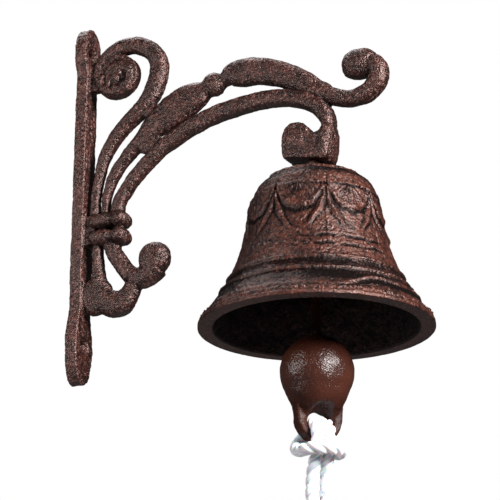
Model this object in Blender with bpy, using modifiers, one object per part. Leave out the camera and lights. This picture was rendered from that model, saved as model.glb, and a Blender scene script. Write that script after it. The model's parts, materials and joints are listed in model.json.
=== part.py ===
"""Wall mounted cast iron bell: wall plate, scrolled bracket, bell, hung clapper and pull rope.

Metres, +Z up. The origin is the middle of the plate's back face, +X points out of the wall and
the bracket lies in the plane Y = 0. Shapes are laid out in millimetres as (x, z), with x out
from the wall and z up from the bell's mouth, and MOUTH_Z puts them into the object's frame.
"""

import math

import bmesh
import bpy
from mathutils import Matrix, Vector

MM = 0.001
GAP = 0.3  # clearance that touching pieces keep
MOUTH_Z = -90.0  # height of the bell's mouth, from the middle of the plate

# Wall plate
PLATE_THICKNESS = 7.0
PLATE_EDGE = 1.2
SCREW_HOLES_Z = (7.8, 177.6)
SCREW_HOLE_RADIUS = 3.0
COUNTERSINK_RADIUS = 4.4
COUNTERSINK_DEPTH = 2.2

# Bracket
COLLAR_RIGHT = 33.0
COLLAR_HALF_DEPTH = 7.4
COLLAR_ROUNDING = 3.6
COLLARS = {"collar_upper": (72.3, 80.8), "collar_lower": (62.3, 72.0)}
DISC_X, DISC_Z = 24.4, 162.5
DISC_RADIUS = 14.0
DISC_HALF_DEPTH = 4.6
BLOCK_DEPTH = 16.0
BLOCK_UNDERSIDE = 88.9  # at its outer end; it rises towards the wall
BLOCK_SHOULDER = 104.6  # where the arm comes down onto the block

# Bell
BELL_X = 141.6
BELL_STEPS = 48
CROWN_TOP = 86.0
CROWN_UNDERSIDE = 76.5

# Hanger bolt, its nut and washer (M5)
BOLT_RADIUS = 2.5
BOLT_TOP = 100.9
BOLT_HOLE_RADIUS = BOLT_RADIUS + GAP
BOLT_HOLE_TOP = BOLT_TOP + GAP
WASHER_RADIUS = 4.5
WASHER_TOP = 89.6  # under the block's sloping underside
NUT_RADIUS = 4.6
NUT_HEIGHT = 4.0
EYE_RADIUS = 5.0
EYE_WIRE = 1.5
EYE_Z = 64.0

# Link ring between the bolt's eye and the clapper's eye
LINK_RADIUS = 5.0
LINK_WIRE = 1.25
LINK_PIVOT_Z = EYE_Z - EYE_RADIUS
HOOKED = EYE_WIRE + LINK_WIRE + GAP  # distance between two hooked wires
LINK_Z = LINK_PIVOT_Z + HOOKED - LINK_RADIUS
CLAPPER_PIVOT_Z = LINK_Z - LINK_RADIUS

# Clapper
CLAPPER_EYE_Z = CLAPPER_PIVOT_Z + HOOKED - EYE_RADIUS
SHANK_RADIUS = 2.5
BALL_Z = -22.4
BALL_RADIUS = 18.65
ROPE_EYE_Z = -49.0
ROPE_EYE_HOLE = 6.6
ROPE_EYE_DEPTH = 8.0
ROPE_EYE_TURN = math.radians(45.0)  # of the rope eye and its rope, about the bell's axis

# Pull rope
HITCH_RADIUS = 2.9  # pulled tight
ROPE_RADIUS = 3.5
HITCH_END_Z = -80.0
TAIL_TOP_Z = HITCH_END_Z - 2 * GAP
KNOT_TOP_Z = -218.6
KNOT_Z = -229.6
KNOT_RADII = (10.4, 9.6, 10.8)
ROPE_END_TOP_Z = -240.6
ROPE_END_Z = -254.0

# name: (colour, roughness, metallic)
MATERIALS = {
    "bracket_iron": ((0.040, 0.018, 0.014, 1.0), 0.55, 0.55),
    "bell_iron": ((0.075, 0.026, 0.020, 1.0), 0.50, 0.55),
    "clapper_iron": ((0.060, 0.018, 0.012, 1.0), 0.28, 0.35),
    "plated_steel": ((0.45, 0.44, 0.42, 1.0), 0.35, 1.0),
    "cotton_rope": ((0.85, 0.83, 0.84, 1.0), 0.90, 0.0),
}

# Half of the plate's outline, as (half width, z), from the bottom tip to the top tip.
PLATE_OUTLINE = [
    (0.0, -14.3), (5.2, -11.0), (8.2, -2.5), (9.2, 7.8), (8.3, 16.0), (6.3, 25.0), (6.0, 32.0),
    (6.2, 60.0), (6.3, 100.0), (6.2, 140.0), (5.9, 160.0), (6.2, 166.5), (8.4, 172.5),
    (9.2, 179.0), (7.9, 187.0), (4.6, 192.6), (0.0, 194.5),
]

# Bars of the bracket, as (x, z, half width, half depth).
UPPER_SCROLL = [
    (11.4, 79.8, 3.2, 3.4), (11.7, 91.0, 3.3, 3.6), (13.1, 101.0, 3.6, 4.0), (16.0, 113.0, 4.2, 4.0),
    (20.6, 122.6, 4.6, 4.0), (28.2, 131.6, 5.0, 4.2), (37.0, 139.6, 5.2, 4.4), (43.8, 146.2, 5.5, 4.5),
    (48.7, 154.2, 5.7, 4.6), (50.4, 163.2, 5.5, 4.6), (47.9, 171.3, 5.3, 4.5), (41.6, 176.9, 5.2, 4.4),
    (33.5, 179.5, 5.1, 4.3), (25.0, 179.3, 4.8, 4.2), (18.0, 176.6, 4.2, 4.0), (13.6, 171.6, 3.4, 3.6),
]
LEAF_ARM = [
    (17.9, 79.8, 2.8, 3.2), (18.4, 89.0, 3.0, 3.4), (20.2, 97.0, 3.7, 3.8), (24.7, 106.4, 4.7, 4.0),
    (31.4, 114.7, 5.2, 4.2), (38.4, 121.0, 5.9, 4.3), (45.5, 126.5, 7.6, 4.6), (52.0, 131.0, 9.4, 4.8),
    (59.0, 135.2, 10.2, 5.0), (66.5, 139.0, 10.0, 5.0), (74.3, 142.0, 7.9, 4.8), (81.2, 146.0, 6.7, 5.0),
    (85.6, 146.6, 6.1, 4.8), (89.4, 147.3, 4.6, 4.2), (93.6, 149.3, 6.9, 4.8), (99.0, 149.7, 8.2, 5.0),
    (106.0, 149.2, 8.4, 5.0), (113.0, 147.9, 8.0, 5.0), (120.0, 145.5, 7.5, 5.0), (128.0, 141.8, 7.2, 4.9),
    (136.0, 137.2, 6.5, 4.8), (143.0, 132.2, 5.7, 4.7), (149.6, 127.9, 5.2, 4.6),
]
HANGER_ARM = [
    (24.9, 79.8, 4.1, 4.0), (26.4, 86.8, 4.3, 4.0), (29.6, 92.0, 4.7, 4.0), (35.2, 99.2, 5.1, 4.0),
    (47.3, 110.3, 5.3, 4.2), (57.6, 117.3, 5.4, 4.3), (72.7, 124.4, 5.4, 4.3), (88.0, 128.6, 5.3, 4.4),
    (104.4, 130.8, 5.2, 4.5), (120.0, 130.8, 4.9, 4.6), (131.0, 128.5, 4.9, 4.7), (139.6, 124.9, 5.0, 5.2),
    (146.0, 119.5, 4.7, 6.0), (149.5, 113.2, 4.2, 6.9), (150.3, 108.4, 4.0, 7.5), (150.3, 103.6, 4.0, 7.8),
]
TIP_SCROLL = [
    (148.4, 128.4, 3.8, 3.4), (151.4, 126.6, 5.0, 4.5), (155.5, 124.5, 5.1, 4.7), (161.5, 122.8, 5.1, 4.8),
    (168.0, 123.0, 5.3, 5.0), (173.9, 125.6, 5.5, 5.3), (177.8, 130.4, 5.7, 5.6), (178.4, 136.2, 5.6, 5.8),
    (175.4, 141.0, 5.6, 5.8),
]
LOWER_BOW = [
    (13.2, 63.2, 2.9, 3.6), (14.0, 54.0, 3.2, 3.8), (14.7, 47.0, 3.8, 4.2), (15.9, 40.0, 5.0, 4.8),
    (18.8, 33.2, 6.6, 5.4), (24.2, 28.9, 7.7, 5.6), (30.0, 29.4, 7.2, 5.4), (34.2, 33.6, 5.6, 4.8),
    (36.2, 38.0, 4.8, 4.4),
]
LOWER_BRACE = [
    (21.6, 63.2, 4.7, 4.2), (23.6, 58.6, 4.7, 4.2), (26.3, 54.4, 4.8, 4.2), (29.4, 49.9, 4.8, 4.3),
    (32.6, 45.9, 5.0, 4.5), (35.2, 43.1, 5.2, 4.6),
]
TAIL_SCROLL = [
    (34.4, 43.5, 3.8, 3.4), (37.4, 42.0, 5.5, 4.6), (41.6, 41.4, 6.3, 5.0), (46.4, 42.7, 6.4, 5.4),
    (50.4, 46.2, 6.2, 5.8),
]
TIP_BALL = ((168.2, 141.3), (10.0, 6.4, 8.4))
TAIL_BALL = ((48.7, 51.2), (9.0, 6.6, 9.1))

# The volute that the hanging arm ends in: level where the arm comes down, sloping over the bell.
HANGER_BLOCK = [
    (127.0, 94.0), (151.0, BLOCK_UNDERSIDE), (152.8, 91.5), (154.0, 101.5), (154.3, BLOCK_SHOULDER),
    (146.3, BLOCK_SHOULDER), (143.8, 104.2), (141.9, 105.3), (140.6, 108.4), (138.4, 110.8), (134.8, 112.0),
    (130.9, 111.5), (127.8, 109.3), (126.2, 105.6), (125.9, 100.0), (126.1, 96.0),
]

# The bell's section, as (radius, z): down the outside, under the lip and up the inside.
BELL_OUTSIDE = [
    (2.9, CROWN_TOP), (10.0, CROWN_TOP), (10.0, 83.3), (10.6, 81.4), (19.0, 81.0), (20.0, 79.8),
    (24.3, 79.4), (25.3, 78.2), (28.8, 75.2), (31.2, 71.0), (32.7, 66.0), (33.8, 60.0), (35.0, 53.0),
    (36.6, 46.5), (38.6, 39.5), (41.0, 32.5), (44.2, 25.0), (48.0, 17.6), (52.9, 10.0), (58.4, 3.4),
    (60.0, 1.6), (60.0, 0.0),
]
BELL_INSIDE = [
    (52.5, 0.0), (50.6, 3.2), (46.4, 10.0), (42.2, 17.0), (38.4, 24.5), (35.4, 32.0), (33.2, 39.0),
    (31.4, 46.2), (30.0, 53.0), (28.9, 60.0), (27.6, 66.0), (25.8, 70.6), (22.8, 74.0), (18.0, 76.0),
    (2.9, CROWN_UNDERSIDE),
]

# The clapper's turned body, as (radius, z), from the shank down to where the rope eye takes over.
PEAR = [(15.8, -33.0), (13.2, -39.0), (10.0, -42.5), (6.0, -44.0)]

# Half of the rope eye's outline, as (half width, z).
ROPE_EYE_OUTLINE = [
    (12.6, -36.0), (12.3, -41.5), (11.8, -46.5), (10.9, -51.0), (8.6, -54.9), (4.8, -57.5), (0.0, -58.2),
]

# Half of the hitch's route, as (x, y, z) from the bell's axis: from the tail, up the front of
# the rope eye, through its hole, down its back and round to the front of the tails.
HITCH_ROUTE = [
    (-3.7, -1.0, HITCH_END_Z), (-3.7, -1.0, -77.5), (-3.5, -2.2, -72.0), (-3.2, -4.6, -66.8),
    (-3.1, -6.6, -62.0), (-3.1, -7.3, -58.0), (-3.1, -7.1, -54.0), (-3.1, -5.4, -51.0), (-3.1, -2.0, -49.5),
    (-3.1, 2.4, -49.6), (-3.4, 6.2, -51.3), (-4.5, 7.8, -54.4), (-7.3, 7.5, -57.8),
    (-9.5, 5.0, -60.8), (-10.1, 0.4, -62.9), (-9.7, -5.0, -63.6), (-7.8, -10.0, -63.7),
    (-4.2, -13.0, -63.6), (0.0, -13.9, -63.6),
]

# Routes of the two hanging ropes, as (x, y, z) from the bell's axis.
TAIL_ROUTES = {
    "rope_left": [
        (-3.7, -1.0, TAIL_TOP_Z), (-3.7, -1.0, -86.0), (-3.9, -0.7, -96.0), (-4.6, -0.3, -112.0),
        (-5.6, 0.4, -135.0), (-5.9, 0.7, -160.0), (-5.2, 0.4, -185.0), (-4.2, 0.1, -205.0),
        (-3.8, 0.0, KNOT_TOP_Z + GAP),
    ],
    "rope_right": [
        (3.7, -1.0, TAIL_TOP_Z), (3.7, -1.0, -86.0), (3.8, -1.3, -96.0), (3.9, -1.8, -112.0),
        (4.4, -2.0, -135.0), (4.9, -1.5, -160.0), (4.8, -0.8, -185.0), (4.1, -0.2, -205.0),
        (3.8, 0.0, KNOT_TOP_Z + GAP),
    ],
}


def clear_scene():
    for obj in list(bpy.data.objects):
        bpy.data.objects.remove(obj, do_unlink=True)


def new_collection(name):
    collection = bpy.data.collections.new(name)
    bpy.context.scene.collection.children.link(collection)
    return collection


def new_material(name):
    colour, roughness, metallic = MATERIALS[name]
    material = bpy.data.materials.new(name)
    material.use_nodes = True
    shader = material.node_tree.nodes["Principled BSDF"]
    shader.inputs["Base Color"].default_value = colour
    shader.inputs["Roughness"].default_value = roughness
    shader.inputs["Metallic"].default_value = metallic
    return material


def metres(x, y, z):
    """A point from the bell's mouth plane in millimetres, in the object's frame in metres."""
    return Vector((x, y, z + MOUTH_Z)) * MM


def smooth_route(points, steps):
    """Points on a Catmull-Rom curve through the given ones, with steps of them to a span."""
    padded = [points[0], *points, points[-1]]
    route = []
    for before, start, end, after in zip(padded, padded[1:], padded[2:], padded[3:]):
        for step in range(steps):
            t = step / steps
            weights = (
                (-t + 2 * t**2 - t**3) / 2,
                (2 - 5 * t**2 + 3 * t**3) / 2,
                (t + 4 * t**2 - 3 * t**3) / 2,
                (-(t**2) + t**3) / 2,
            )
            route.append(
                tuple(
                    sum(w * value for w, value in zip(weights, values))
                    for values in zip(before, start, end, after)
                )
            )
    route.append(tuple(points[-1]))
    return route


def new_object(name, mesh, collection, material):
    mesh.materials.clear()
    mesh.materials.append(material)
    obj = bpy.data.objects.new(name, mesh)
    collection.objects.link(obj)
    return obj


def new_cutter(name, mesh):
    obj = bpy.data.objects.new(name, mesh)
    cutters.objects.link(obj)
    obj.hide_render = True
    obj.display_type = "WIRE"
    return obj


def mesh_of_curve(curve, matrix=Matrix()):
    """The solid of a curve with filled caps, as a welded mesh."""
    holder = bpy.data.objects.new(curve.name, curve)
    bpy.context.scene.collection.objects.link(holder)
    bpy.context.view_layer.update()
    evaluated = holder.evaluated_get(bpy.context.evaluated_depsgraph_get())
    mesh = bpy.data.meshes.new_from_object(evaluated)
    bpy.data.objects.remove(holder, do_unlink=True)
    mesh.transform(matrix)
    shape = bmesh.new()
    shape.from_mesh(mesh)
    bmesh.ops.remove_doubles(shape, verts=shape.verts, dist=1e-6)
    bmesh.ops.recalc_face_normals(shape, faces=shape.faces)
    shape.to_mesh(mesh)
    shape.free()
    return mesh


def tube_mesh(name, route, radii, resolution):
    """A round tube with flat ends through the route, in metres."""
    curve = bpy.data.curves.new(name, "CURVE")
    curve.dimensions = "3D"
    curve.bevel_depth = MM
    curve.bevel_resolution = resolution
    curve.use_fill_caps = True
    spline = curve.splines.new("POLY")
    spline.points.add(len(route) - 1)
    for point, place, radius in zip(spline.points, route, radii):
        point.co = (*place, 1.0)
        point.radius = radius
    return mesh_of_curve(curve)


def bar_mesh(name, points, steps=2, grown=0.0):
    """A bar of the bracket: a tube in the plane Y = 0, with its own half depth at each point."""
    route = smooth_route(points, steps)
    places = [metres(x, 0, z) for x, z, _, _ in route]
    widths = [width + grown for _, _, width, _ in route]
    depths = [depth + grown for _, _, _, depth in route]
    mesh = tube_mesh(name, places, widths, 2)
    for vertex in mesh.vertices:
        flat = Vector((vertex.co.x, 0, vertex.co.z))
        nearest = min(range(len(places)), key=lambda i: (places[i] - flat).length_squared)
        vertex.co.y *= depths[nearest] / widths[nearest]
    return mesh


def flat_mesh(name, outline, thickness, matrix):
    """A flat plate of that outline, centred on its own plane and then placed by the matrix."""
    curve = bpy.data.curves.new(name, "CURVE")
    curve.dimensions = "2D"
    curve.fill_mode = "BOTH"
    curve.extrude = thickness * MM / 2
    spline = curve.splines.new("POLY")
    spline.points.add(len(outline) - 1)
    for point, (across, up) in zip(spline.points, outline):
        point.co = (across * MM, up * MM, 0.0, 1.0)
    spline.use_cyclic_u = True
    return mesh_of_curve(curve, matrix)


def both_sides(half):
    """A closed outline from its right half, which runs from one tip on the middle line."""
    return half + [(-across, up) for across, up in reversed(half) if across > 0]


def facing_x(x):
    """Places a flat outline upright in a plane of constant X."""
    axes = Matrix(((0, 0, 1), (1, 0, 0), (0, 1, 0))).to_4x4()
    return Matrix.Translation(metres(x, 0, 0)) @ axes


def facing_y(x):
    """Places a flat outline upright in the bracket's plane."""
    axes = Matrix(((1, 0, 0), (0, 0, -1), (0, 1, 0))).to_4x4()
    return Matrix.Translation(metres(x, 0, 0)) @ axes


def primitive(name, make, matrix, **sizes):
    shape = bmesh.new()
    make(shape, matrix=matrix, **sizes)
    mesh = bpy.data.meshes.new(name)
    shape.to_mesh(mesh)
    shape.free()
    return mesh


def box_mesh(name, low, high):
    """A box between two corners, in millimetres from the mouth plane."""
    low, high = metres(*low), metres(*high)
    size = Matrix.Diagonal((*(high - low), 1.0))
    return primitive(name, bmesh.ops.create_cube, Matrix.Translation((low + high) / 2) @ size, size=1.0)


def ball_mesh(name, x, y, z, radii):
    """An ellipsoid with half sizes radii, in millimetres from the mouth plane."""
    size = Matrix.Diagonal((*(radius * MM for radius in radii), 1.0))
    place = Matrix.Translation(metres(x, y, z)) @ size
    return primitive(
        name, bmesh.ops.create_uvsphere, place, u_segments=20, v_segments=12, radius=1.0
    )


def cylinder_mesh(name, x, radius, bottom, top, sides=24):
    place = Matrix.Translation(metres(x, 0, (bottom + top) / 2))
    return primitive(
        name,
        bmesh.ops.create_cone,
        place,
        cap_ends=True,
        segments=sides,
        radius1=radius * MM,
        radius2=radius * MM,
        depth=(top - bottom) * MM,
    )


def ring_mesh(name, z, radius, wire, axis):
    """A wire ring on the bell's axis whose hole runs along X or Y."""
    bpy.ops.mesh.primitive_torus_add(
        major_segments=24,
        minor_segments=10,
        major_radius=radius * MM,
        minor_radius=wire * MM,
    )
    holder = bpy.context.object
    mesh = holder.data
    mesh.name = name
    bpy.data.objects.remove(holder, do_unlink=True)
    turn = Matrix.Rotation(math.pi / 2, 4, "Y" if axis == "X" else "X")
    mesh.transform(Matrix.Translation(metres(BELL_X, 0, z)) @ turn)
    return mesh


def turned_object(name, profile, steps, collection, material, closed=False):
    """A profile of (radius, z) points turned round the bell's axis."""
    shape = bmesh.new()
    corners = [shape.verts.new((radius * MM, 0, z * MM)) for radius, z in profile]
    for start, end in zip(corners, corners[1:]):
        shape.edges.new((start, end))
    if closed:
        shape.edges.new((corners[-1], corners[0]))
    mesh = bpy.data.meshes.new(name)
    shape.to_mesh(mesh)
    shape.free()
    obj = new_object(name, mesh, collection, material)
    obj.location = metres(BELL_X, 0, 0)
    screw = obj.modifiers.new("turn", "SCREW")
    screw.steps = steps
    screw.render_steps = steps
    screw.use_merge_vertices = True
    screw.merge_threshold = 1e-6
    return obj


def combine(obj, operation, others):
    """Adds the other objects to this one, or takes them away."""
    for other in others:
        boolean = obj.modifiers.new(operation.lower() + " " + other.name, "BOOLEAN")
        boolean.operation = operation
        boolean.solver = "EXACT"
        boolean.object = other
    return obj


def round_edges(obj, width, segments):
    bevel = obj.modifiers.new("rounding", "BEVEL")
    bevel.width = width * MM
    bevel.segments = segments
    bevel.limit_method = "ANGLE"
    bevel.angle_limit = math.radians(50)
    return obj


def turned_eye(mesh):
    """Turns a mesh that was made for a rope eye in the bracket's plane round to where the eye points."""
    to_axis = Matrix.Translation(metres(BELL_X, 0, 0))
    mesh.transform(to_axis @ Matrix.Rotation(ROPE_EYE_TURN, 4, "Z") @ to_axis.inverted())
    return mesh


def new_pivot(name, z):
    pivot = bpy.data.objects.new(name, None)
    part.objects.link(pivot)
    pivot.location = metres(BELL_X, 0, z)
    return pivot


def hang_from(pivot, objects):
    """Parents the objects to the pivot and leaves them where they are."""
    for obj in objects:
        obj.parent = pivot
        obj.matrix_parent_inverse = Matrix.Translation(-pivot.location)


def build_plate():
    outline = both_sides(smooth_route(PLATE_OUTLINE, 2))
    mesh = flat_mesh("wall_plate", outline, PLATE_THICKNESS, facing_x(PLATE_THICKNESS / 2))
    plate = round_edges(new_object("wall_plate", mesh, part, iron), PLATE_EDGE, 2)
    for number, z in enumerate(SCREW_HOLES_Z):
        middle = metres(0, 0, z)
        turn = Matrix.Rotation(math.pi / 2, 4, "Y")
        drill = primitive(
            "drill",
            bmesh.ops.create_cone,
            Matrix.Translation(middle + Vector((PLATE_THICKNESS * MM / 2, 0, 0))) @ turn,
            cap_ends=True,
            segments=20,
            radius1=SCREW_HOLE_RADIUS * MM,
            radius2=SCREW_HOLE_RADIUS * MM,
            depth=2 * PLATE_THICKNESS * MM,
        )
        overshoot = 1.0
        sink_depth = COUNTERSINK_DEPTH + overshoot
        slope = (COUNTERSINK_RADIUS - SCREW_HOLE_RADIUS) / COUNTERSINK_DEPTH
        sink_middle = PLATE_THICKNESS + overshoot - sink_depth / 2
        sink = primitive(
            "sink",
            bmesh.ops.create_cone,
            Matrix.Translation(middle + Vector((sink_middle * MM, 0, 0))) @ turn,
            cap_ends=True,
            segments=20,
            radius1=SCREW_HOLE_RADIUS * MM,
            radius2=(COUNTERSINK_RADIUS + slope * overshoot) * MM,
            depth=sink_depth * MM,
        )
        combine(
            plate,
            "DIFFERENCE",
            [new_cutter(f"screw_hole_{number}", drill), new_cutter(f"countersink_{number}", sink)],
        )
    return plate


def build_bars():
    """The bars of the bracket. Where two bars run together, the later one gives way."""
    routes = {
        "upper_scroll": UPPER_SCROLL,
        "hanger_arm": HANGER_ARM,
        "leaf_arm": LEAF_ARM,
        "tip_scroll": TIP_SCROLL,
        "lower_brace": LOWER_BRACE,
        "tail_scroll": TAIL_SCROLL,
        "lower_bow": LOWER_BOW,
    }
    bars = {name: new_object(name, bar_mesh(name, route), part, iron) for name, route in routes.items()}
    room = {
        name: new_cutter(name + "_room", bar_mesh(name + "_room", routes[name], grown=GAP))
        for name in ("upper_scroll", "hanger_arm", "leaf_arm", "lower_brace", "tail_scroll")
    }
    (tip_x, tip_z), tip_radii = TIP_BALL
    (tail_x, tail_z), tail_radii = TAIL_BALL
    tip_ball = new_cutter("tip_ball", ball_mesh("tip_ball", tip_x, 0, tip_z, tip_radii))
    tail_ball = new_cutter("tail_ball", ball_mesh("tail_ball", tail_x, 0, tail_z, tail_radii))
    foot = new_cutter("bow_foot", box_mesh("bow_foot", (PLATE_THICKNESS + GAP, -3, 26), (17, 3, 44)))
    combine(bars["tip_scroll"], "UNION", [tip_ball])
    combine(bars["tail_scroll"], "UNION", [tail_ball])
    combine(bars["lower_bow"], "UNION", [foot])
    collar_low = (0, -12, COLLARS["collar_lower"][0] - GAP)
    collar_high = (40, 12, COLLARS["collar_upper"][1] + GAP)
    collar_room = new_cutter("collar_room", box_mesh("collar_room", collar_low, collar_high))
    block_high = (160, 12, BLOCK_SHOULDER + GAP)
    block_room = new_cutter("block_room", box_mesh("block_room", (140, -12, 80), block_high))
    for name in ("upper_scroll", "leaf_arm", "hanger_arm", "lower_bow", "lower_brace"):
        combine(bars[name], "DIFFERENCE", [collar_room])
    combine(bars["hanger_arm"], "DIFFERENCE", [block_room])
    disc_room = disc_mesh("disc_room", GAP)
    combine(bars["upper_scroll"], "DIFFERENCE", [new_cutter("disc_room", disc_room)])
    combine(bars["leaf_arm"], "DIFFERENCE", [room["upper_scroll"], room["hanger_arm"]])
    combine(bars["tip_scroll"], "DIFFERENCE", [room["leaf_arm"], room["hanger_arm"]])
    combine(bars["tail_scroll"], "DIFFERENCE", [room["lower_brace"]])
    combine(bars["lower_bow"], "DIFFERENCE", [room["lower_brace"], room["tail_scroll"]])
    return bars


def disc_mesh(name, grown=0.0):
    turn = Matrix.Rotation(math.pi / 2, 4, "X")
    return primitive(
        name,
        bmesh.ops.create_cone,
        Matrix.Translation(metres(DISC_X, 0, DISC_Z)) @ turn,
        cap_ends=True,
        segments=32,
        radius1=(DISC_RADIUS + grown) * MM,
        radius2=(DISC_RADIUS + grown) * MM,
        depth=2 * (DISC_HALF_DEPTH + grown) * MM,
    )


def build_disc():
    """The coiled end of the upper scroll, with the web that joins it to the plate."""
    disc = round_edges(new_object("scroll_disc", disc_mesh("scroll_disc"), part, iron), 2.2, 3)
    web = box_mesh("disc_web", (PLATE_THICKNESS + GAP, -2.8, 155), (16, 2.8, 170))
    return combine(disc, "UNION", [new_cutter("disc_web", web)])


def build_collars():
    for name, (bottom, top) in COLLARS.items():
        low = (PLATE_THICKNESS + GAP, -COLLAR_HALF_DEPTH, bottom)
        high = (COLLAR_RIGHT, COLLAR_HALF_DEPTH, top)
        round_edges(new_object(name, box_mesh(name, low, high), part, iron), COLLAR_ROUNDING, 4)


def build_block():
    mesh = flat_mesh("hanger_block", HANGER_BLOCK, BLOCK_DEPTH, facing_y(0))
    block = round_edges(new_object("hanger_block", mesh, part, iron), 1.0, 2)
    below = BLOCK_UNDERSIDE - 1.0
    hole = cylinder_mesh("block_hole", BELL_X, BOLT_HOLE_RADIUS, below, BOLT_HOLE_TOP)
    return combine(block, "DIFFERENCE", [new_cutter("block_hole", hole)])


def build_bell():
    return turned_object(
        "bell_shell", BELL_OUTSIDE + BELL_INSIDE, BELL_STEPS, part, bell_iron, closed=True
    )


def build_hanger():
    """The eye bolt that holds the bell up to the block, with its washer and nut."""
    washer = [
        (BOLT_HOLE_RADIUS, WASHER_TOP),
        (WASHER_RADIUS, WASHER_TOP),
        (WASHER_RADIUS, CROWN_TOP + GAP),
        (BOLT_HOLE_RADIUS, CROWN_TOP + GAP),
    ]
    turned_object("crown_washer", washer, 32, part, iron, closed=True)
    bolt_mesh = cylinder_mesh("eye_bolt", BELL_X, BOLT_RADIUS, EYE_Z + EYE_RADIUS - 0.5, BOLT_TOP)
    bolt = new_object("eye_bolt", bolt_mesh, part, steel)
    eye = new_cutter("bolt_eye", ring_mesh("bolt_eye", EYE_Z, EYE_RADIUS, EYE_WIRE, "Y"))
    combine(bolt, "UNION", [eye])
    nut_top = CROWN_UNDERSIDE - GAP
    nut_mesh = cylinder_mesh("crown_nut", BELL_X, NUT_RADIUS, nut_top - NUT_HEIGHT, nut_top, 6)
    nut = new_object("crown_nut", nut_mesh, part, steel)
    bore = cylinder_mesh("nut_bore", BELL_X, BOLT_HOLE_RADIUS, nut_top - 6, nut_top + 2)
    combine(nut, "DIFFERENCE", [new_cutter("nut_bore", bore)])


def build_link():
    mesh = ring_mesh("clapper_link", LINK_Z, LINK_RADIUS, LINK_WIRE, "X")
    return new_object("clapper_link", mesh, part, steel)


def build_clapper():
    """The clapper: an eye to hang from, a shank, the ball and a flattened eye for the rope."""
    shank_bottom_angle = math.asin(SHANK_RADIUS / BALL_RADIUS)
    ball = []
    for step in range(9):
        angle = shank_bottom_angle + (math.radians(118) - shank_bottom_angle) * step / 8
        ball.append((BALL_RADIUS * math.sin(angle), BALL_Z + BALL_RADIUS * math.cos(angle)))
    shank_top = CLAPPER_EYE_Z - EYE_RADIUS + 0.4
    body = [(0, shank_top), (SHANK_RADIUS, shank_top), (SHANK_RADIUS, ball[0][1] + 3.0)]
    clapper = turned_object(
        "clapper", body + ball + PEAR + [(0, PEAR[-1][1])], 32, part, clapper_iron
    )
    hang_eye = ring_mesh("clapper_eye", CLAPPER_EYE_Z, EYE_RADIUS, EYE_WIRE, "Y")
    outline = both_sides(ROPE_EYE_OUTLINE[::-1])
    flat_eye = flat_mesh("rope_eye", outline, ROPE_EYE_DEPTH, facing_y(BELL_X))
    rope_eye = new_cutter("rope_eye", turned_eye(flat_eye))
    round_edges(rope_eye, 1.6, 2)
    turn = Matrix.Rotation(math.pi / 2, 4, "X")
    hole = primitive(
        "rope_hole",
        bmesh.ops.create_cone,
        Matrix.Translation(metres(BELL_X, 0, ROPE_EYE_Z)) @ turn,
        cap_ends=True,
        segments=28,
        radius1=ROPE_EYE_HOLE * MM,
        radius2=ROPE_EYE_HOLE * MM,
        depth=5 * ROPE_EYE_DEPTH * MM,
    )
    combine(clapper, "UNION", [new_cutter("clapper_eye", hang_eye), rope_eye])
    return combine(clapper, "DIFFERENCE", [new_cutter("rope_hole", turned_eye(hole))])


def rope_object(name, points, radius, steps, resolution):
    route = smooth_route([(BELL_X + x, y, z) for x, y, z in points], steps)
    mesh = tube_mesh(name, [metres(*place) for place in route], [radius] * len(route), resolution)
    return new_object(name, turned_eye(mesh), part, cotton)


def build_rope():
    """One doubled rope: the hitch on the clapper, two hanging parts, their knot and the two ends."""
    other_half = [(-x, y, z) for x, y, z in reversed(HITCH_ROUTE[:-1])]
    pieces = [rope_object("rope_hitch", HITCH_ROUTE + other_half, HITCH_RADIUS, 2, 2)]
    for name, points in TAIL_ROUTES.items():
        pieces.append(rope_object(name, points, ROPE_RADIUS, 2, 2))
    knot = ball_mesh("rope_knot", BELL_X, 0, KNOT_Z, KNOT_RADII)
    pieces.append(new_object("rope_knot", turned_eye(knot), part, cotton))
    for name, x in (("rope_end_left", -4.0), ("rope_end_right", 4.0)):
        middle_z = (ROPE_END_TOP_Z + ROPE_END_Z) / 2
        points = [(x, 0, ROPE_END_TOP_Z), (1.2 * x, 0, middle_z), (1.3 * x, 0, ROPE_END_Z)]
        pieces.append(rope_object(name, points, ROPE_RADIUS, 1, 2))
    return pieces


clear_scene()
part = new_collection("wall_mounted_bell")
cutters = new_collection("cutters")
cutters.hide_render = True
iron, bell_iron, clapper_iron, steel, cotton = (new_material(name) for name in MATERIALS)

build_plate()
build_bars()
build_disc()
build_collars()
build_block()
build_bell()
build_hanger()
link_pivot = new_pivot("link_pivot", LINK_PIVOT_Z)
clapper_pivot = new_pivot("clapper_pivot", CLAPPER_PIVOT_Z)
hang_from(link_pivot, [build_link()])
hang_from(clapper_pivot, [build_clapper(), *build_rope()])
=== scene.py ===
"""Studio scene of the wall mounted bell: cast iron bracket, bell, clapper and doubled cotton rope.

Lengths are in millimetres until they reach a mesh. Shapes are laid out as (x, z), with x out from
the wall and z up from the bell's mouth, or as (x, y, z) from the bell's axis.
"""

import json
import math

import bmesh
import bpy
import numpy as np
from mathutils import Matrix, Vector

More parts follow.
